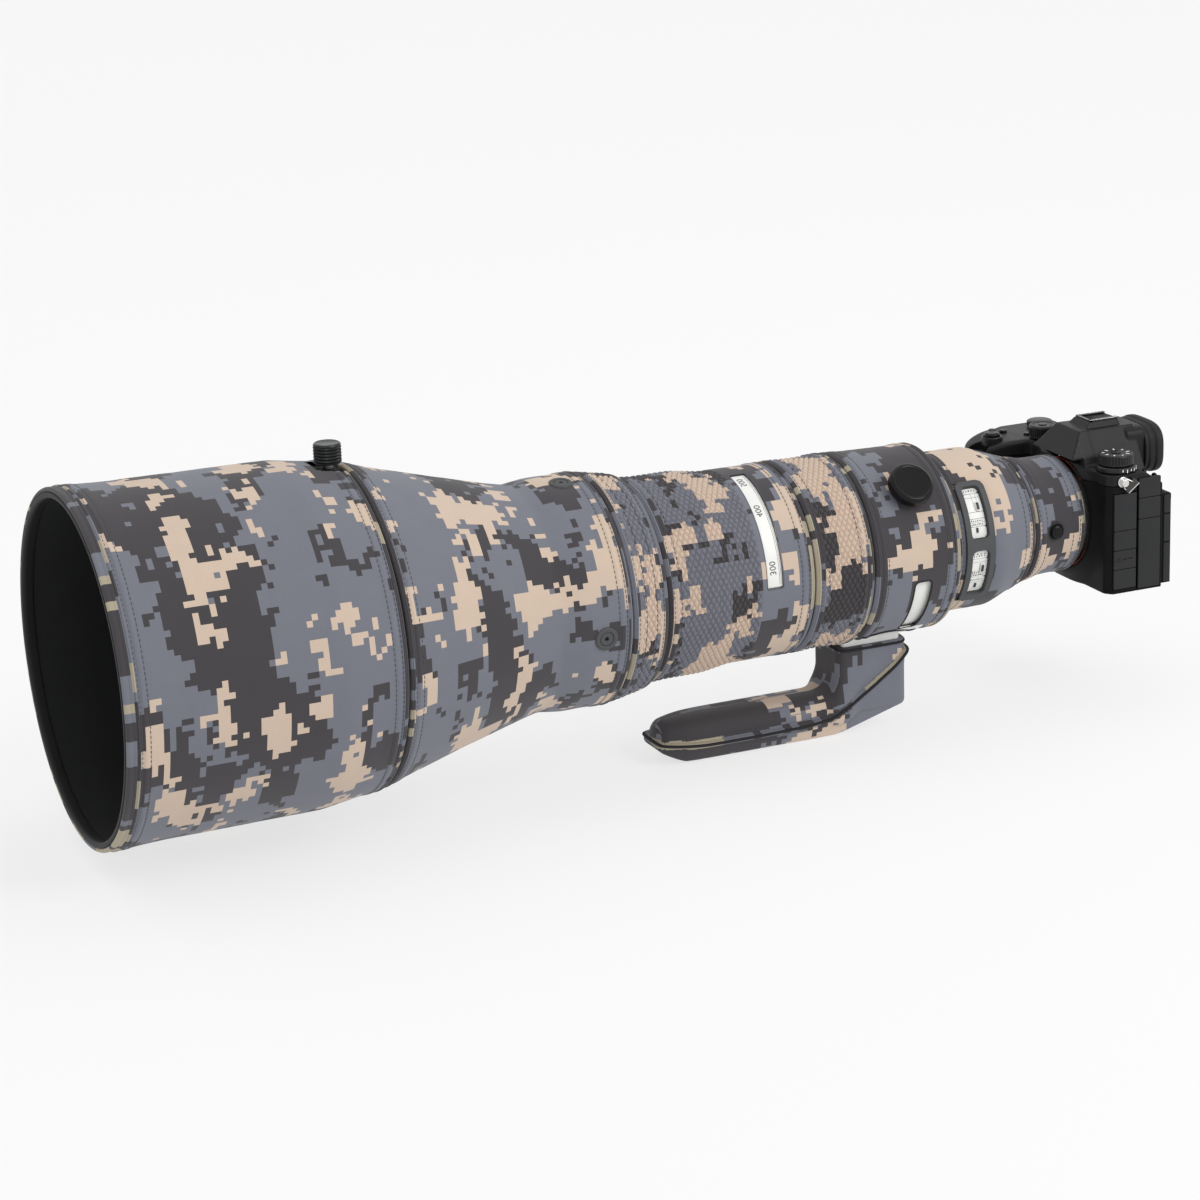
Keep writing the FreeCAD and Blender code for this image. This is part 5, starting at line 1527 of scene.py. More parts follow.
def foot_field(distance, across, height):
    """The padded cover over the foot: a loaf on a flange, with a neck that flares into it."""
    side = np.abs(across)
    seam = seam_height(distance)
    taper = np.clip((distance - 254.0) / 27.0, 0.0, 1.0)
    half = 19.5 - 7.4 * taper**1.9
    belly = np.clip((seam - height) / 10.0, 0.0, 1.0)
    crown = -87.0 - 2.4 * np.clip((distance - 240.0) / 36.0, 0.0, 1.0) ** 2
    low = -112.6 + 9.0 * np.clip((distance - 262.0) / 19.0, 0.0, 1.0) ** 1.3
    loaf = smooth_max(side - (half - 3.4), height - crown, 13.0)
    loaf = smooth_max(loaf, -104.0 - height, 1.0)
    loaf = smooth_max(loaf, distance - 278.6, 8.0)
    loaf = smooth_max(loaf, 158.0 - distance, 4.0)
    heel = (-(height + 100.3) - (distance - 118.0) * 0.285) / 1.04
    under = smooth_max(side - (half - 0.9 - 3.4 * belly), height - seam, 1.0)
    under = smooth_max(under, low - height, 1.5)
    under = smooth_max(under, heel, 2.0)
    under = smooth_max(under, distance - 280.2, 5.0)
    under = smooth_max(under, 116.2 - distance, 2.5)
    neck = smooth_max(side - 17.6, 116.0 - distance, 6.0)
    neck = smooth_max(neck, distance - 162.0, 6.5)
    neck = smooth_max(neck, -100.2 - height, 4.0)
    neck = smooth_max(neck, height + 50.0, 0.5)
    neck = smooth_max(neck, heel, 2.0)
    field = smooth_min(loaf, neck, 13.0)
    field = smooth_min(field, under, 0.8)
    flange = smooth_max(
        side - (half + 0.1), np.abs(height - seam) * np.where(distance < 168.0, 0.82, 1.0) - 1.35, 1.1,
    )
    flange = smooth_max(flange, distance - 281.0, 8.0)
    flange = smooth_max(flange, 115.7 - distance, 2.0)
    field = smooth_min(field, flange, 1.2)
    field = smooth_max(field, -112.8 - height, 0.8)
    radius = np.hypot(across, height)
    return smooth_max(field, 57.4 + NECK_CURVE * (side / 18.0) ** 2 - radius, 0.4)


NECK_CURVE = 3.9
FOOT_GRID = ((112.0, -22.0, -116.0), (285.0, 22.0, -48.0), 1.0)
foot_vertices, foot_faces, foot_points = surface_net(foot_field, *FOOT_GRID, foot_point)


def on_flange(distance, across, height):
    """True on the outer edge of the flange, which is taped."""
    outer = 15.9 - 7.4 * min(1.0, max(0.0, (distance - 254.0) / 27.0)) ** 1.9
    past_side = abs(across) > outer or distance > 276.0 or distance < 116.8
    return abs(height - seam_height(distance)) < 2.4 and past_side


def lay_foot_cloth(mesh):
    """Cloth UVs over the foot's cover, with the tape's own along its flange."""
    layer = mesh.uv_layers["cloth"].data
    for polygon in mesh.polygons:
        spots = [foot_points[vertex] for vertex in polygon.vertices]
        taped = on_flange(*(sum(spots, np.zeros(3)) / len(spots)))
        polygon.material_index = int(taped)
        for index, (d, x, z) in zip(polygon.loop_indices, spots):
            if taped:
                layer[index].uv = (d * MM + (0.31 if x < 0 else 0.0), 0.0)
                continue
            u, v = x + 400.0, z
            if abs(polygon.normal.y) <= 0.8:
                u, v = z + (20.0 - abs(x)) * (1.0 if z > -95 else -1.0) + (350.0 if x < 0 else 0.0), d
            layer[index].uv = (u * MM, v * MM)


def foot_loop(height, spacing):
    """The longest closed line on the foot's cover where height(distance, across, height) is zero."""
    return evened(max(level_loops(foot_points, foot_faces, height), key=len), spacing)


def foot_cord(name, path, radius):
    """A black cord on the foot's cover."""
    work = tube_work(path, radius, closed=True)
    piece_from(name, work, BINDING_BLACK, "support", "foot_fabric", smooth=60.0)


def piping_point(distance, across, height):
    """A place on the seam, pushed a little outward."""
    ahead = 0.0
    if distance > 262.0:
        ahead = -(distance - 262.0) * 1.2
    if distance < 122.0:
        ahead = (122.0 - distance) * 2.5
    away = Vector((across, ahead, 0.0))
    away = away.normalized() if away.length > 1e-6 else FORWARD
    return foot_point(distance, across, height) + away * 0.35 * MM


foot_mesh = mesh_from("foot_padding", foot_vertices, foot_faces)
lay_foot_cloth(foot_mesh)
foot_padding = finish_piece(
    "foot_padding", foot_mesh, [CAMO_FOOT, FLANGE_TAPE], "support", "foot_fabric", ("foot_cover",),
    smooth=60.0,
)
seam = foot_loop(lambda d, x, z: z - seam_height(d), 1.2)
foot_cord("foot_piping", [piping_point(*spot) for spot in seam], 0.95)
threads = []
for rise in (2.9, -2.9):
    run = foot_loop(lambda d, x, z: z - seam_height(d) - rise, 0.8)
    for start in range(0, len(run) - 3, 4):
        threads.append(tube_work([foot_point(*spot) for spot in run[start : start + 4]], 0.14, 5))
piece_from("foot_stitches", threads, THREAD, "support", "foot_fabric", smooth=60.0)
neck = foot_loop(lambda d, x, z: np.hypot(x, z) - 58.7 - NECK_CURVE * (x / 18.0) ** 2, 1.2)
foot_cord("foot_neck_binding", [foot_point(d, x * 1.015, z) for d, x, z in neck], 0.85)

SOCKETS = ((181.0, 3.175, 9.0), (211.0, 4.76, 11.0), (241.0, 3.175, 9.0))


def foot_core_field(distance, across, height):
    """The hard foot inside its cover, with its three sockets."""
    field = smooth_max(foot_field(distance, across, height) + 2.3, -113.55 - height, 0.3)
    base = smooth_max(np.abs(across) - 12.5, distance - 250.0, 3.0)
    base = smooth_max(base, 172.0 - distance, 3.0)
    base = smooth_max(base, np.abs(height + 112.3) - 1.25, 0.4)
    field = smooth_min(field, base, 0.5)
    radius = np.hypot(across, height)
    stem = smooth_max(np.abs(across) - 15.0, np.abs(distance - 138.8) - 19.6, 3.0)
    stem = smooth_max(stem, np.maximum(-66.0 - height, 55.4 - radius), 0.4)
    field = smooth_min(field, stem, 0.5)
    for spot, reach, depth in ((181.0, 3.3, 9.0), (211.0, 4.9, 11.0), (241.0, 3.3, 9.0)):
        socket = np.maximum(np.hypot(distance - spot, across) - reach, height + 113.6 - depth)
        field = smooth_max(field, -socket, 0.25)
    return field


vertices, faces, points = surface_net(foot_core_field, *FOOT_GRID, foot_point)
core = mesh_from("foot_core", vertices, faces)
finish_piece("foot_core", core, LENS_WHITE, "support", "lens_white", ("tripod_foot",), smooth=50.0)


def socket_bush(spot, reach, depth):
    """The steel lining of a threaded socket in the foot."""
    line = [
        (0.1, reach - 0.25), (0.1, reach + 0.35), (0.6, reach + 0.35), (depth - 0.5, reach + 0.2),
        (depth - 0.5, 0.0),
    ]
    return spun_work(line, lens_point(spot, -90.0, 113.6), UP, steps=40, radius=0)


piece_from(
    "foot_socket_bushes", [socket_bush(*socket) for socket in SOCKETS], STEEL, "support", "mount_steel",
)
lens_turned(
    "collar_rim_behind_foot", [(112.6, 55.0), (159.6, 55.0), (159.6, 56.4), (112.6, 56.4)], LENS_WHITE,
    "support", "lens_white",
    radius=0.3, steps=40, arc=(-124.0, -56.0),
)


# ----------------------------------------------------------------- camera

FINDER_UP = 35.6


def oval_reach(degrees, half_wide=22.2, half_tall=16.1, power=3.2):
    """Radius of the finder's squarish oval at an angle from +X."""
    turn = math.radians(degrees)
    total = abs(math.cos(turn) / half_wide) ** power + abs(math.sin(turn) / half_tall) ** power
    return total ** (-1.0 / power)


def hump_field(x, b, z):
    """The finder hump, which overhangs the mount, with its shoe platform and the housing behind."""
    sides = [
        wall_through(((24.6, 33.4), (13.4, 52.6)), "y", (1, 1)),
        wall_through(((-27.5, 33.0), (-13.4, 52.6)), "y", (-1, 1)),
        wall_through(((-3.8, 37.6), (6.4, 52.6)), "x", (-1, 1)),
        (0.0, 0.0, 1.0, 52.6),
    ]
    hump = slabs(
        x, b, z, [*sides, (0.0, 1.0, 0.0, 44.0), (0.0, 0.0, -1.0, -24.0), (0.0, -1.0, 0.0, -4.3)], 0.5,
    )
    brow = slabs(x, b, z, [*sides, (0.0, 1.0, 0.0, 12.0), (0.0, 0.0, -1.0, -37.4)], 0.5)
    hump = smooth_min(hump, brow, 0.4)
    platform = [
        (1.0, 0.0, 0.42, 10.2 + 0.42 * 52.6),
        (-1.0, 0.0, 0.42, 10.2 + 0.42 * 52.6),
        (0.0, -1.0, 1.0, -12.8 + 52.6),
        (0.0, 1.0, 0.25, 37.0 + 0.25 * 52.6),
        (0.0, 0.0, 1.0, 56.0),
        (0.0, 0.0, -1.0, -50.0),
    ]
    hump = smooth_min(hump, slabs(x, b, z, platform, 0.4), 0.3)
    power = 6.0
    housing = ((np.abs(x) / 18.6) ** power + (np.abs(z - 35.2) / 16.1) ** power) ** (1.0 / power) * 16.1 - 16.1
    housing = smooth_max(housing, 36.6 - b, 2.0)
    housing = smooth_max(housing, b - 49.7, 0.7)
    return smooth_min(hump, housing, 0.6)


def grip_field(x, b, z):
    """The hand grip with its sloping top."""
    walls = [
        (-1.0, 0.0, 0.0, 78.4),
        wall_through(((-78.4, -14.0), (-73.6, -24.4)), "z", (-1, -1)),
        wall_through(((-73.6, -24.4), (-65.0, -28.8)), "z", (-1, -1)),
        (0.0, -1.0, 0.0, 28.8),
        wall_through(((-56.0, -28.8), (-48.8, -24.0)), "z", (1, -1)),
        wall_through(((-48.8, -24.0), (-43.6, -9.0)), "z", (1, -1)),
        (1.0, 0.0, 0.0, -41.5),
        (0.0, 1.0, 0.0, 42.7),
        (0.0, 0.0, -1.0, 41.8),
        (0.0, 0.0, 1.0, 35.8),
        wall_through(((-8.5, 35.8), (-28.8, 29.4)), "x", (-1, 1)),
    ]
    return slabs(x, b, z, walls, 3.2)


def body_field(x, b, z):
    """The whole outside of the camera body, before it is parted into shells."""
    walls = [
        (1.0, 0.0, 0.0, 50.1),
        (-1.0, 0.0, 0.0, 78.4),
        (0.0, -1.0, 0.0, -4.5),
        (0.0, 1.0, 0.0, 42.8),
        (0.0, 0.0, -1.0, 41.8),
        (0.0, 0.0, 1.0, 32.8),
        wall_through(((30.0, 32.8), (43.0, 24.0)), "x", (1, 1)),
        wall_through(((45.5, 4.5), (50.1, 8.2)), "z", (1, -1)),
    ]
    core = slabs(x, b, z, walls, 0.9)
    deck = [
        (1.0, 0.0, 0.0, -29.0),
        (-1.0, 0.0, 0.0, 78.4),
        (0.0, 0.0, 1.0, 35.8),
        (0.0, 0.0, -1.0, 20.0),
        (0.0, 1.0, 0.0, 40.0),
        (0.0, -1.0, 0.0, -5.0),
        wall_through(((26.0, 35.8), (42.8, 29.5)), "x", (1, 1)),
    ]
    raised = slabs(x, b, z, deck, 1.8)
    core = smooth_min(core, raised, 1.5)
    core = smooth_min(core, grip_field(x, b, z), 5.0)
    for face in (b - 42.85, -41.85 - z, -78.45 - x, z - 35.9):
        core = smooth_max(core, face, 0.7)
    core = smooth_min(core, hump_field(x, b, z), 0.8)
    reach = np.hypot(x, z)
    boss = smooth_max(reach - 36.6 - 1.5 * np.clip(b, 0.0, 6.0), 0.3 - b, 1.0)
    boss = smooth_max(boss, b - 20.0, 1.0)
    boss = smooth_max(boss, z - 34.5 + 2.2 * np.clip((np.abs(x) - 19.0) / 5.0, 0.0, 1.0), 1.0)
    boss = smooth_max(boss, -41.2 - z, 0.7)
    core = smooth_min(core, boss, 4.0)
    throat = np.maximum(reach - 34.7, b - 6.2)
    field = smooth_max(core, -throat, 0.35)
    for bx, bb, reach_here, low in ((-57.0, -14.0, 6.4, 29.4), (-57.0, -23.0, 7.2, 22.4)):
        well = np.maximum(np.hypot(x - bx, b - bb) - reach_here, low - z)
        field = smooth_max(field, -well, 0.35)
    for door in ((8.2, 24.3, -38.8, 21.3), (25.3, 41.2, -40.3, 29.4)):
        recess = np.maximum.reduce([48.9 - x, door[0] - b, b - door[1], door[2] - z, z - door[3]])
        field = smooth_max(field, -recess, 0.25)
    bay = np.maximum.reduce([-74.3 - x, x + 51.1, -19.8 - b, b - 19.0, z + 40.1])
    field = smooth_max(field, -bay, 0.25)
    seat = np.maximum.reduce([-39.0 - x, x - 47.2, 42.2 - b, -42.2 - z, z - 17.0])
    field = smooth_max(field, -seat, 0.5)
    wheel = np.maximum(np.hypot(x + 58.0, z + 12.0) - 9.6, 42.0 - b)
    field = smooth_max(field, -wheel, 0.35)
    key = np.maximum(np.hypot(x + 36.0, z + 18.0) - 4.9, b - 6.8)
    field = smooth_max(field, -key, 0.3)
    hollow = np.maximum.reduce([-40.0 - x, x - 46.5, 6.6 - b, b - 40.0, -39.0 - z, z - 23.5])
    return smooth_max(field, -hollow, 0.3)


def camera_net(name, field, low, high, material, slot, replaces=()):
    """A piece of the camera from a field, between two corners."""
    vertices, faces, found = surface_net(field, low, high, GRID_STEP, camera_point)
    finish_piece(name, mesh_from(name, vertices, faces), material, "camera", slot, replaces, smooth=32.0)


def lower_body(x, b, z):
    """The body under the top shell's joint line."""
    return smooth_max(body_field(x, b, z), z - 25.9, 0.3)


def front_shell_field(x, b, z):
    return smooth_max(lower_body(x, b, z), b - 24.62, 0.3)


def rear_shell_field(x, b, z):
    return smooth_max(lower_body(x, b, z), 24.88 - b, 0.3)


def top_shell_field(x, b, z):
    return smooth_max(body_field(x, b, z), 26.15 - z, 0.3)


GRID_STEP = 0.75
# the top shell takes the lighter copy of the black paint, which is painted light
SHELLS = (
    ("front", front_shell_field, (-80.0, -31.0, -43.5), (52.0, 26.5, 27.5), BODY_BLACK),
    ("rear", rear_shell_field, (-80.0, 23.0, -43.5), (52.0, 44.5, 27.5), BODY_BLACK),
    ("top", top_shell_field, (-80.0, -31.0, 24.5), (52.0, 51.5, 58.5), HUMP_BLACK_PAINTED_LIGHT),
)
for name, field, low, high, paint in SHELLS:
    camera_net(f"body_{name}_shell", field, low, high, paint, "body_shell", (f"{name}_cover",))


def grip_skin_field(x, b, z):
    """The rubber skin round the grip."""
    skin = grip_field(x, b, z) - 0.28
    skin = np.maximum(skin, -(grip_field(x, b, z) + 1.2))
    bands = smooth_max(x + 44.6 + 0.12 * (z + 10.0), z - 24.4, 2.0)
    bands = smooth_max(bands, -39.6 - z, 2.0)
    bands = smooth_max(bands, b - 24.0, 2.0)
    return smooth_max(skin, bands, 0.4)


camera_net(
    "grip_skin", grip_skin_field, (-80.0, -31.0, -42.0), (-42.0, 26.0, 27.0), GRIP_RUBBER, "rubber_black",
)

FRONT_DOOR, REAR_DOOR = (8.55, 23.9), (25.65, 40.85)


def side_panel(column, low, high):
    """A panel on the port side, between two heights."""
    return prism(rounded_outline(*column, low, high, 0.5, 3), 48.7, 50.75, on_side, 0.45)


def side_barrel(back, low, high):
    """The upright hinge barrel of a port door."""
    line = [(low, 0.0), (low, 0.95), (high, 0.95), (high, 0.0)]
    return spun_work(line, camera_point(49.75, back, 0.0), UP, steps=24)


for name, door, barrel in (
    ("front", side_panel(FRONT_DOOR, -1.85, 21.0), side_barrel(9.55, -1.6, 20.8)),
    ("rear", side_panel(REAR_DOOR, -39.9, 3.35), side_barrel(39.85, -39.6, 3.0)),
):
    piece_from(
        f"{name}_port_lid", [door, barrel], DOOR_RUBBER, f"{name}_port_lid", "rubber_grey",
        (f"{name}_port_door",),
    )
panels = [
    side_panel(FRONT_DOOR, low, high)
    for low, high in ((-13.95, -2.25), (-26.05, -14.35), (-38.4, -26.45))
]
panels += [side_panel(REAR_DOOR, low, high) for low, high in ((16.85, 29.1), (3.75, 16.45))]
piece_from("port_side_panels", panels, DOOR_RUBBER, "camera", "rubber_grey")
ring = [(50.7, 0.9), (50.82, 0.9), (50.82, 1.25), (50.7, 1.25), (50.7, 0.9)]
marks = [
    spun_work(ring, camera_point(0.0, 11.6, -20.2), PORT, steps=24, radius=0),
    prism(rounded_outline(14.6, 17.6, -20.4, -19.7, 0.3, 2), 50.6, 50.84, on_side),
    prism(rounded_outline(18.6, 21.6, -20.2, -19.5, 0.3, 2), 50.6, 50.84, on_side),
]
piece_from("port_panel_marks", marks, GLOSS_BLACK, "camera", "button_black")

# --------------------------------------------------- mount, seen when open

def camera_ring(name, line, centre, axis, steps, material, slot, replaces=(), swell=None):
    """A ring on the camera; its profile is (along, radius)."""
    spun = spin(line, centre, axis, PORT, steps, swell=swell, closed=True)
    closed_piece(name, spun, material, "camera", slot, replaces, smooth=40.0)


FLANGE_CENTRE = camera_point(0, 0, 0)
FINDER_CENTRE = camera_point(0, 0, FINDER_UP)
trim = softened([(1.1, 33.6), (1.1, 33.95), (1.3, 34.1), (3.6, 34.1), (3.6, 33.6)], 0.12, closed=True)
# the trim's colour carries painted shade
camera_ring(
    "mount_trim", trim, FLANGE_CENTRE, -FORWARD, 160, TRIM_ORANGE_SHADED, "trim_orange", ("mount_trim_ring",),
)
throat = softened([(1.3, 31.0), (1.3, 33.6), (4.0, 33.6), (4.0, 31.0)], 0.12, closed=True)
camera_ring("mount_trim_inner", throat, FLANGE_CENTRE, -FORWARD, 160, DIAL_BLACK, "body_plastic")
mount_mark = prism([(-0.45, 35.3), (0.45, 35.3), (0.45, 37.2), (-0.45, 37.2)], 0.1, 0.5, on_face)
piece_from("mount_index_mark", mount_mark, MARK_WHITE, "camera", "body_plastic")

# --------------------------------------------------- finder, shoe, eyecup

knob(
    "finder_lens", [
        (50.0, 0.0), (50.0, 11.3), (55.6, 11.3), (56.2, 10.8), (56.2, 8.2), (55.4, 7.9), (55.4, 0.0),
    ],
    FINDER_CENTRE, -FORWARD, FINDER, "camera", "finder_glass", ("eyepiece",), radius=0.3,
)
frame_line = []
for degrees in range(0, 360, 5):
    reach = oval_reach(degrees) - 4.2
    turn = math.radians(degrees)
    frame_line.append((reach * math.cos(turn), FINDER_UP + reach * math.sin(turn)))
piece_from("finder_frame", prism(frame_line, 52.8, 53.8, on_face), DIAL_BLACK, "camera", "body_plastic")
cup = softened(
    [(49.4, 15.4), (49.4, 18.2), (51.6, 18.3), (52.2, 19.0), (54.4, 19.4), (55.0, 18.9), (55.8, 18.9),
     (56.4, 19.6),
     (57.2, 20.0), (60.0, 20.0), (61.2, 19.5), (61.8, 18.6), (61.7, 17.8), (61.0, 17.2), (57.6, 16.0),
     (53.0, 15.4)],
    0.6, closed=True,
)
camera_ring(
    "eyecup_rubber", cup, FINDER_CENTRE, -FORWARD, 144, SOFT_RUBBER, "rubber_black", ("eyecup",),
    swell=lambda row, degrees: oval_reach(degrees) - 20.0,
)


def shoe_bar(left, right, front, rear, low, high):
    """A straight part of the accessory shoe."""
    return prism([(left, front), (right, front), (right, rear), (left, rear)], low, high, on_top, 0.1, 2)


shoe = [shoe_bar(side * 8.5, side * 5.6, 16.9, 36.2, 56.5, 57.0) for side in (-1, 1)]
shoe += [shoe_bar(side * 8.5, side * 7.7, 16.9, 36.2, 55.7, 56.9) for side in (-1, 1)]
shoe.append(shoe_bar(-8.5, 8.5, 16.9, 18.6, 55.7, 57.0))
piece_from("shoe_rails", shoe, SHOE_PAINT, "camera", "mount_steel", ("hot_shoe",))
edge_line = [
    camera_point(x, back, 57.02)
    for x, back in ((-8.4, 36.1), (-8.4, 17.0), (8.4, 17.0), (8.4, 36.1))
]
piece_from("shoe_edge_line", tube_work(edge_line, 0.14), LUG_STEEL, "camera", "mount_steel")
bed = [prism(rounded_outline(-7.6, 7.6, 18.4, 36.0, 0.5, 3), 55.7, 56.15, on_top)]
for index in range(5):
    contact = rounded_outline(-4.6 + 1.96 * index, -3.6 + 1.96 * index, 20.0, 24.5, 0.4, 2)
    bed.append(prism(contact, 56.1, 56.3, on_top))
piece_from("shoe_bed", bed, BODY_BLACK, "camera", "body_plastic")

# ------------------------------------------------------------ top controls


DRIVE_AT, MODE_AT, SHUTTER_AT, WHEEL_AT = (38.0, 17.0), (-41.0, 13.0), (-57.0, -14.0), (-57.0, -23.0)
EXPOSURE_AT = (-66.5, 26.0)
PAD_AT = (-61.0, 0.0, 10.5)


def dial_bar(centre, turn, inner, outer, half, low, high):
    """A small bar on a dial, lying along its radius."""
    x, back = centre
    corners = []
    for reach, side in ((inner, -half), (outer, -half), (outer, half), (inner, half)):
        along = x + reach * math.cos(turn) - side * math.sin(turn)
        corners.append((along, back + reach * math.sin(turn) + side * math.cos(turn)))
    return prism(corners, low, high, on_top)


def dial_marks(name, centre, up, count, inner, outer, half, material, body):
    """Small radial bars on the top of a dial, every third one shorter."""
    bars = []
    for index in range(count):
        start = inner + (outer - inner) * (0.0 if index % 3 else 0.25)
        turn = math.radians(360.0 * index / count)
        bars.append(dial_bar(centre, turn, start, outer, half, up - 0.05, up + 0.14))
    piece_from(name, bars, material, body, "dial_metal", smooth=0)


def ribbed_dial(name, line, place, axis, steps, ribs, body, replaces):
    """A dial with straight ribs round its rim; ribs is (count, depth, rows, share)."""
    spun = spin(line, camera_point(*place), axis, PORT, steps, swell=ribbed(*ribs))
    closed_piece(name, spun, DIAL_BLACK, body, "dial_metal", (replaces,), smooth=30.0)


knob(
    "focus_selector_ring",
    [(0.0, 0.0), (0.0, 11.9), (0.5, 12.3), (2.3, 12.3), (2.9, 11.9), (3.2, 11.5), (3.2, 0.0)],
    camera_point(*DRIVE_AT, 33.4), UP, DIAL_BLACK, "focus_selector", "dial_metal", ("focus_mode_dial",),
    radius=0.35, steps=144,
)
side_marks = [
    dial_bar(DRIVE_AT, math.radians(-12.0 + 14.0 * index), 12.2, 12.44, 0.26, 35.7 - tall, 35.7)
    for index, tall in enumerate((1.2, 2.0, 1.2, 2.0, 1.4, 2.0))
]
piece_from("focus_selector_marks", side_marks, MARK_WHITE, "focus_selector", "dial_metal", smooth=0)
rim = [(0.5 + 0.55 * row, 10.6) for row in range(11)]
ribbed_dial(
    "drive_selector_dial",
    [(0.0, 0.0), (0.0, 10.0), *rim, (6.6, 10.2), (6.95, 9.4), (6.9, 8.8), (6.6, 8.4), (6.6, 0.0)],
    (*DRIVE_AT, 37.0), UP, 216, (36, 0.4, (3, 11), 0.62), "drive_selector", "drive_dial",
)
dial_marks("drive_selector_marks", DRIVE_AT, 43.6, 9, 6.2, 8.7, 0.42, MARK_WHITE, "drive_selector")
knob(
    "drive_selector_lock", [(0.0, 0.0), (0.0, 3.1), (0.45, 3.1), (0.8, 2.7), (0.8, 0.0)],
    camera_point(*DRIVE_AT, 43.5),
    UP, GLOSS_BLACK, "drive_selector", "dial_metal", steps=40,
)
rim = [(0.5 + 0.55 * row, 8.6) for row in range(12)]
ribbed_dial(
    "mode_selector_dial",
    [(0.0, 0.0), (0.0, 8.0), *rim, (7.4, 8.3), (7.9, 7.6), (7.85, 6.9), (7.5, 6.5), (7.5, 0.0)],
    (*MODE_AT, 36.6), UP, 216, (36, 0.45, (3, 12), 0.55), "mode_selector", "mode_dial",
)
dial_marks("mode_selector_marks", MODE_AT, 44.1, 10, 4.9, 6.0, 0.26, GREY_RUBBER, "mode_selector")
knob(
    "mode_selector_lock", [(0.0, 0.0), (0.0, 2.6), (0.3, 2.6), (0.5, 2.2), (0.5, 0.0)],
    camera_point(*MODE_AT, 44.1),
    UP, GLOSS_BLACK, "mode_selector", "dial_metal", steps=40,
)
rim = [(0.3 + 0.32 * row, 8.1) for row in range(8)]
ribbed_dial(
    "exposure_selector_dial", [(0.0, 0.0), (0.0, 7.6), *rim, (2.8, 7.9), (3.2, 7.2), (3.2, 0.0)],
    (*EXPOSURE_AT, 36.6), UP, 192, (32, 0.4, (3, 9), 0.55), "exposure_selector", "exposure_dial",
)
knob(
    "shutter_release_cap",
    [(0.0, 0.0), (0.0, 4.9), (6.0, 4.9), (6.6, 4.6), (7.2, 3.7), (7.3, 2.4), (7.0, 1.0), (6.9, 0.0)],
    camera_point(*SHUTTER_AT, 32.0), UP, GLOSS_BLACK, "shutter_key", "button_black", ("shutter_button",),
    radius=0.35, steps=64,
)
lever = softened(
    [(31.4, 5.25), (36.4, 5.25), (36.9, 5.5), (36.9, 6.2), (36.3, 6.5), (31.4, 6.5)], 0.2, closed=True,
)
camera_ring("power_lever_ring", lever, camera_point(*SHUTTER_AT, 0.0), UP, 64, DIAL_BLACK, "body_plastic")
rim = [(0.3 + 0.5 * row, 6.4) for row in range(9)]
ribbed_dial(
    "front_selector_wheel", [(0.0, 0.0), (0.0, 6.0), *rim, (5.2, 6.0), (5.4, 5.0), (5.4, 0.0)],
    (*WHEEL_AT, 23.0), UP, 144, (24, 0.4, (2, 9), 0.55), "front_wheel", "front_dial",
)
cap = [(-1.0, 0.0), (-1.0, 2.4), (0.9, 2.4), (1.3, 1.9), (1.35, 0.0)]
places = ((-70.5, -6.0, 35.9), (-65.5, -1.0, 35.9), (-52.0, 8.5, 35.9), (-57.5, 34.0, 34.2))
caps = [spun_work(cap, camera_point(*place), UP, steps=32) for place in places]
piece_from("top_buttons", caps, GLOSS_BLACK, "camera", "button_black")

# ------------------------------------------------------------ rear controls

REAR_BUTTONS = (
    (-49.0, 22.0, 2.6), (-70.0, 22.5, 2.9), (-61.0, 10.5, 3.4), (-71.5, -29.0, 2.3), (-49.5, 8.0, 2.2),
    (-49.5, -31.0, 2.3), (28.0, 25.5, 2.4), (40.0, 25.5, 2.4),
)
rear_caps = []
for x, up, reach in REAR_BUTTONS:
    line = [(42.2, 0.0), (42.2, reach), (43.6, reach), (44.1, reach * 0.8), (44.15, 0.0)]
    rear_caps.append(spun_work(line, camera_point(x, 0.0, up), -FORWARD, steps=32))
pad = [(43.8, 0.0), (43.8, 1.7), (45.6, 1.5), (46.2, 2.1), (46.5, 1.6), (46.6, 0.0)]
rear_caps.append(spun_work(pad, camera_point(*PAD_AT), -FORWARD, steps=32))
piece_from("rear_buttons", rear_caps, GLOSS_BLACK, "camera", "button_black")
rim = [(0.2 + 0.4 * row, 8.8) for row in range(5)]
ribbed_dial(
    "rear_selector_wheel", [(0.0, 0.0), (0.0, 8.4), *rim, (2.1, 8.4), (2.15, 4.2), (1.7, 3.9), (1.7, 0.0)],
    (-58.0, 43.4, -12.0), -FORWARD, 144, (36, 0.3, (2, 6), 0.55), "rear_wheel", "control_wheel",
)
knob(
    "lens_release_cap", [(-3.8, 0.0), (-3.8, 4.1), (-1.7, 4.1), (-1.1, 3.6), (-1.0, 2.4), (-1.3, 0.0)],
    camera_point(-36.0, 0.0, -18.0), FORWARD, GLOSS_BLACK, "release_key", "button_black", ("lens_release",),
    steps=64,
)

# ------------------------------------------------------------------ screen

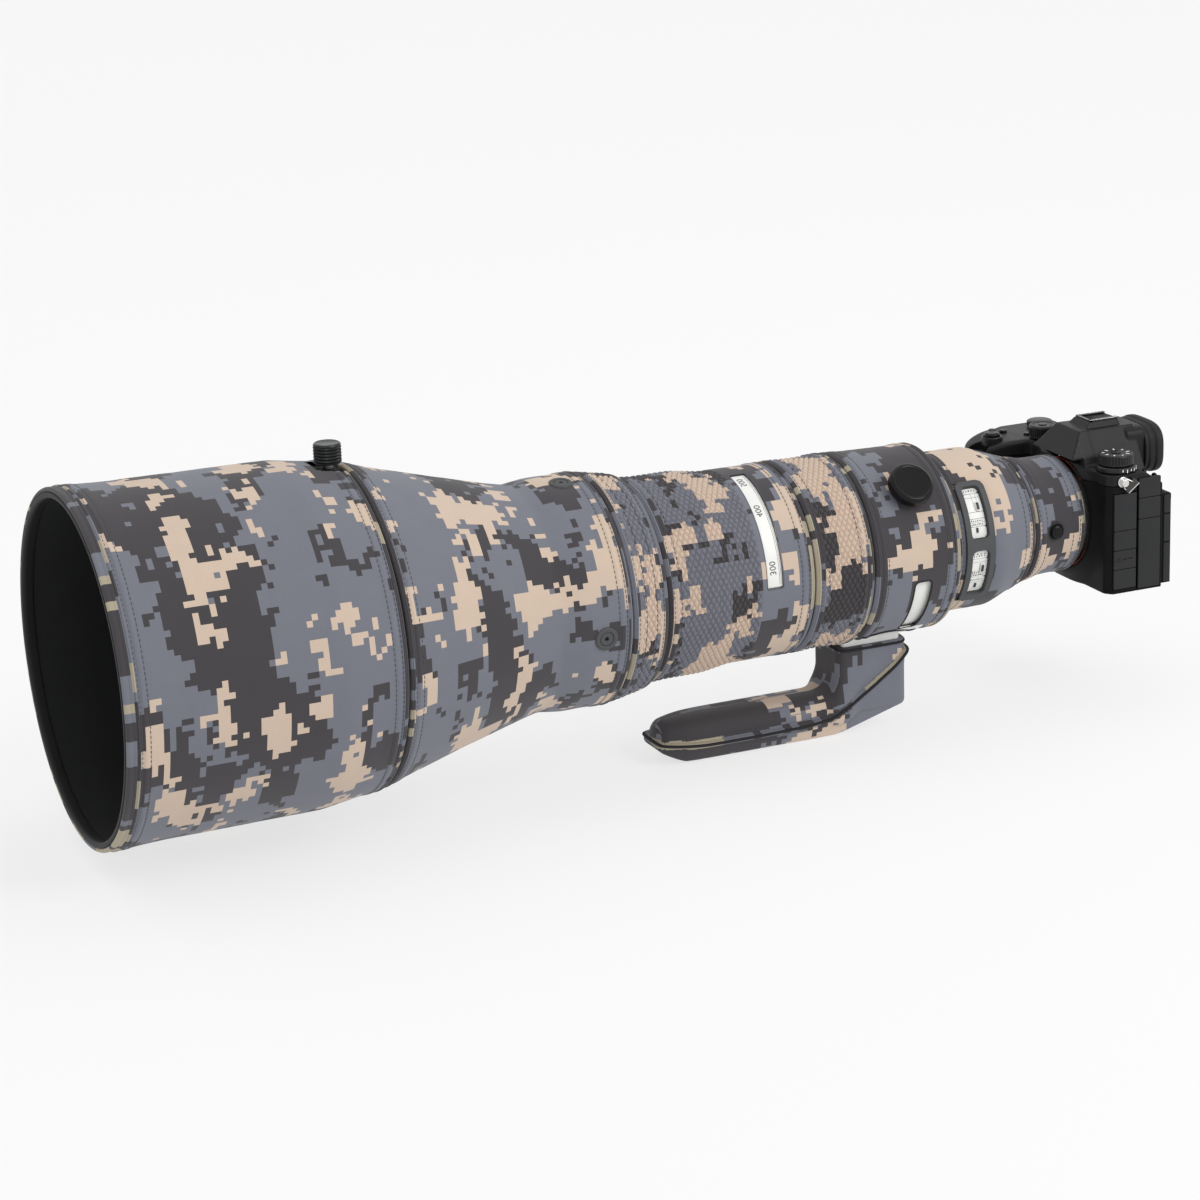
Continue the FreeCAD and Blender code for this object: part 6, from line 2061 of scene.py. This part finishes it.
edge = [(45.1, 12.2), (51.5, 12.2), (51.5, 14.8), (51.1, 15.7), (50.3, 15.95), (45.1, 15.95)]
slab = [(45.12, -40.9), (51.48, -40.9), (51.48, 12.9), (45.12, 12.9)]
screen_work = [
    prism(edge, low, high, on_side, 0.25, 2)
    for low, high in ((-37.9, -28.4), (-23.6, 31.6), (36.4, 45.9))
]
screen_work.append(prism(slab, -37.88, 45.88, on_side, 0.45))
piece_from("screen_frame", screen_work, BODY_BLACK, "screen", "body_plastic", ("monitor",))
window = prism(rounded_outline(-35.2, 43.2, -37.6, 11.6, 1.2, 4), 51.3, 51.62, on_face, 0.1, 2)
piece_from("screen_window", window, SCREEN, "screen", "screen_glass")
arm = [
    prism(rounded_outline(-33.0, 41.0, -37.0, 12.0, 2.0, 4), 43.5, 44.6, on_face, 0.2, 2),
    prism(rounded_outline(-20.0, 28.0, -30.0, 4.0, 2.0, 4), 44.4, 45.3, on_face, 0.1, 2),
]
piece_from("screen_arm_plate", arm, DIAL_BLACK, "screen", "body_plastic", ("monitor_arm",))
pads = [
    prism(rounded_outline(46.3, 50.6, low, high, 0.5, 3), 45.7, 46.35, on_side, 0.25, 2)
    for low, high in ((-40.0, -15.4), (-14.4, 2.6), (3.6, 15.0))
]
piece_from("screen_side_pads", pads, DOOR_RUBBER, "screen", "body_plastic")

# --------------------------------------------------- strap lugs and straps

LUG_PROFILE = [
    (0.0, 0.0), (0.0, 3.35), (0.9, 3.35), (1.2, 2.9), (1.2, 1.9), (2.4, 1.8), (3.0, 2.3), (3.6, 2.6),
    (4.2, 2.2),
    (4.25, 0.0),
]


def split_ring(x, way, steps=40):
    """A strap ring, a rounded triangle with a little twist."""
    loop = []
    for index in range(steps):
        turn = 2 * math.pi * index / steps
        pinch = 1.0 + 0.18 * math.cos(3 * turn)
        out = x + 0.5 * way * math.sin(turn * 2)
        back, up = 16.6 + 3.3 * pinch * math.cos(turn), 27.4 + 2.9 * pinch * math.sin(turn)
        loop.append(camera_point(out, back, up))
    return tube_work(loop, 0.42, closed=True)


posts = [
    spun_work(LUG_PROFILE, camera_point(x, 14.0, 28.6), PORT * way, steps=40, radius=0.25)
    for x, way in ((50.2, 1.0), (-78.5, -1.0))
]
piece_from("strap_lug_posts", posts, LUG_STEEL, "camera", "lug_steel", ("strap_lugs",))
rings = [split_ring(52.4, 1.0), split_ring(-80.6, -1.0)]
piece_from("strap_split_rings", rings, LUG_STEEL, "camera", "lug_steel")
tab = [(14.4, 24.0), (16.6, 21.8), (24.2, 27.6), (20.4, 31.0), (17.4, 27.6)]
tabs = [prism(tab, inner, outer, on_side, 0.3, 2) for inner, outer in ((51.4, 53.2), (-81.1, -79.3))]
piece_from("strap_leather_tabs", tabs, LEATHER, "camera", "leather_black", ("strap_rings",))
clips = [tube_work([camera_point(x, 23.9, 27.4), camera_point(x, 16.8, 22.0)], 0.36) for x in (53.1, -81.0)]
piece_from("strap_tab_clips", clips, LUG_STEEL, "camera", "lug_steel")

# ------------------------------------------------- underside, battery door

hinge = [(-19.3, 0.0), (-19.3, 0.85), (18.5, 0.85), (18.5, 0.0)]
door_work = [
    prism(rounded_outline(-73.9, -52.4, -19.3, 18.5, 1.0, 4), -41.9, -40.2, on_top, 0.3),
    spun_work(hinge, camera_point(-52.5, 0.0, -41.1), -FORWARD, steps=24, radius=0.2),
]
piece_from("battery_lid_panel", door_work, BODY_BLACK, "battery_lid", "body_plastic", ("battery_door",))
bush = spun_work(
    [(-0.1, 3.25), (-0.1, 6.4), (0.5, 6.4)], camera_point(0.0, 15.0, -41.9), UP, steps=48, radius=0,
)
piece_from("base_socket_bush", bush, STEEL, "camera", "mount_steel")

# ----------------------------- finishes for the CAD pieces that stay shown

FINISHES = {
    "lens_white": LENS_WHITE, "lens_ring": LENS_WHITE, "mount_steel": STEEL, "glass_cell": HOOD_BLACK,
    "optical_glass": GLASS,
    "rubber_black": SOFT_RUBBER, "rubber_grey": GREY_RUBBER, "body_shell": BODY_BLACK,
    "body_plastic": BODY_BLACK, "button_black": GLOSS_BLACK,
    "dial_metal": DIAL_BLACK, "trim_orange": TRIM_ORANGE_SHADED, "finder_glass": FINDER, "sensor_glass": SENSOR,
    "board_green": BOARD, "pack_black": GREY_RUBBER,
    "screen_glass": SCREEN, "switch_white": LENS_WHITE, "lug_steel": LUG_STEEL, "leather_black": LEATHER,
    "knob_gloss": GLOSS_BLACK, "knob_matt": KNURL_BLACK,
    "hood_carbon": HOOD_BLACK, "cover_fabric": CAMO, "foot_fabric": CAMO_FOOT,
}
for name, node in frame["nodes"].items():
    for index, held in enumerate(node.data.materials):
        finish = held and next((paint for slot, paint in FINISHES.items() if slot in held.name), None)
        if finish:
            node.data.materials[index] = finish

# ------------------------------------------------------------------ stage

def new_stage():
    work = bmesh.new()
    half = 30.0
    corners = [
        work.verts.new((x, y, 0.0))
        for x, y in ((-half, -half), (half, -half), (half, half), (-half, half))
    ]
    work.faces.new(corners)
    mesh = bpy.data.meshes.new("floor")
    work.to_mesh(mesh)
    work.free()
    floor = bpy.data.objects.new("floor", mesh)
    bpy.context.scene.collection.objects.link(floor)
    material, shader = new_material("studio_floor")
    shader.inputs["Base Color"].default_value = (0.22, 0.22, 0.22, 1.0)
    shader.inputs["Emission Color"].default_value = (1.0, 1.0, 1.0, 1.0)
    shader.inputs["Emission Strength"].default_value = 0.695
    shader.inputs["Roughness"].default_value = 0.9
    shader.inputs["Specular IOR Level"].default_value = 0.1
    mesh.materials.append(material)


def area_light(name, place, target, size, power, tone=(1.0, 1.0, 1.0)):
    light = bpy.data.lights.new(name, "AREA")
    light.shape = "RECTANGLE"
    light.size, light.size_y = size
    light.energy = power
    light.color = tone
    holder = bpy.data.objects.new(name, light)
    bpy.context.scene.collection.objects.link(holder)
    holder.location = place
    holder.rotation_mode = "QUATERNION"
    holder.rotation_quaternion = (Vector(target) - Vector(place)).to_track_quat("-Z", "Y")


new_stage()
world = bpy.data.worlds.new("studio")
world.use_nodes = True
world.node_tree.nodes["Background"].inputs["Color"].default_value = (1.0, 1.0, 1.0, 1.0)
world.node_tree.nodes["Background"].inputs["Strength"].default_value = 0.955
bpy.context.scene.world = world
middle = (0.0, -0.05, 0.12)
area_light("key", (1.95, 1.15, 1.75), (0.0, 0.1, 0.14), (1.2, 1.2), 24.0)
area_light("fill", (2.2, 1.4, 0.9), middle, (1.2, 1.0), 4.0)
area_light("over", (-0.4, 0.1, 2.3), middle, (1.6, 1.2), 5.0)

azimuth, elevation, roll = math.radians(66.416), math.radians(17.204), math.radians(-1.914)
level = math.cos(elevation)
back = Vector((math.sin(azimuth) * level, -math.cos(azimuth) * level, math.sin(elevation)))
right = Vector((math.cos(azimuth), math.sin(azimuth), 0.0))
upward = back.cross(right)
rolled_right = right * math.cos(roll) + upward * math.sin(roll)
rolled_up = upward * math.cos(roll) - right * math.sin(roll)
camera_data = bpy.data.cameras.new("photo_camera")
camera_data.lens = 108.1
camera_data.sensor_width = 36.0
camera_data.clip_start, camera_data.clip_end = 0.05, 40.0
camera = bpy.data.objects.new("photo_camera", camera_data)
bpy.context.scene.collection.objects.link(camera)
turn = Matrix((rolled_right, rolled_up, back)).transposed().to_4x4()
camera.matrix_world = Matrix.Translation((1.8348, -0.8988, 0.7246)) @ turn
bpy.context.scene.camera = camera
bpy.context.scene.view_settings.view_transform = "Standard"
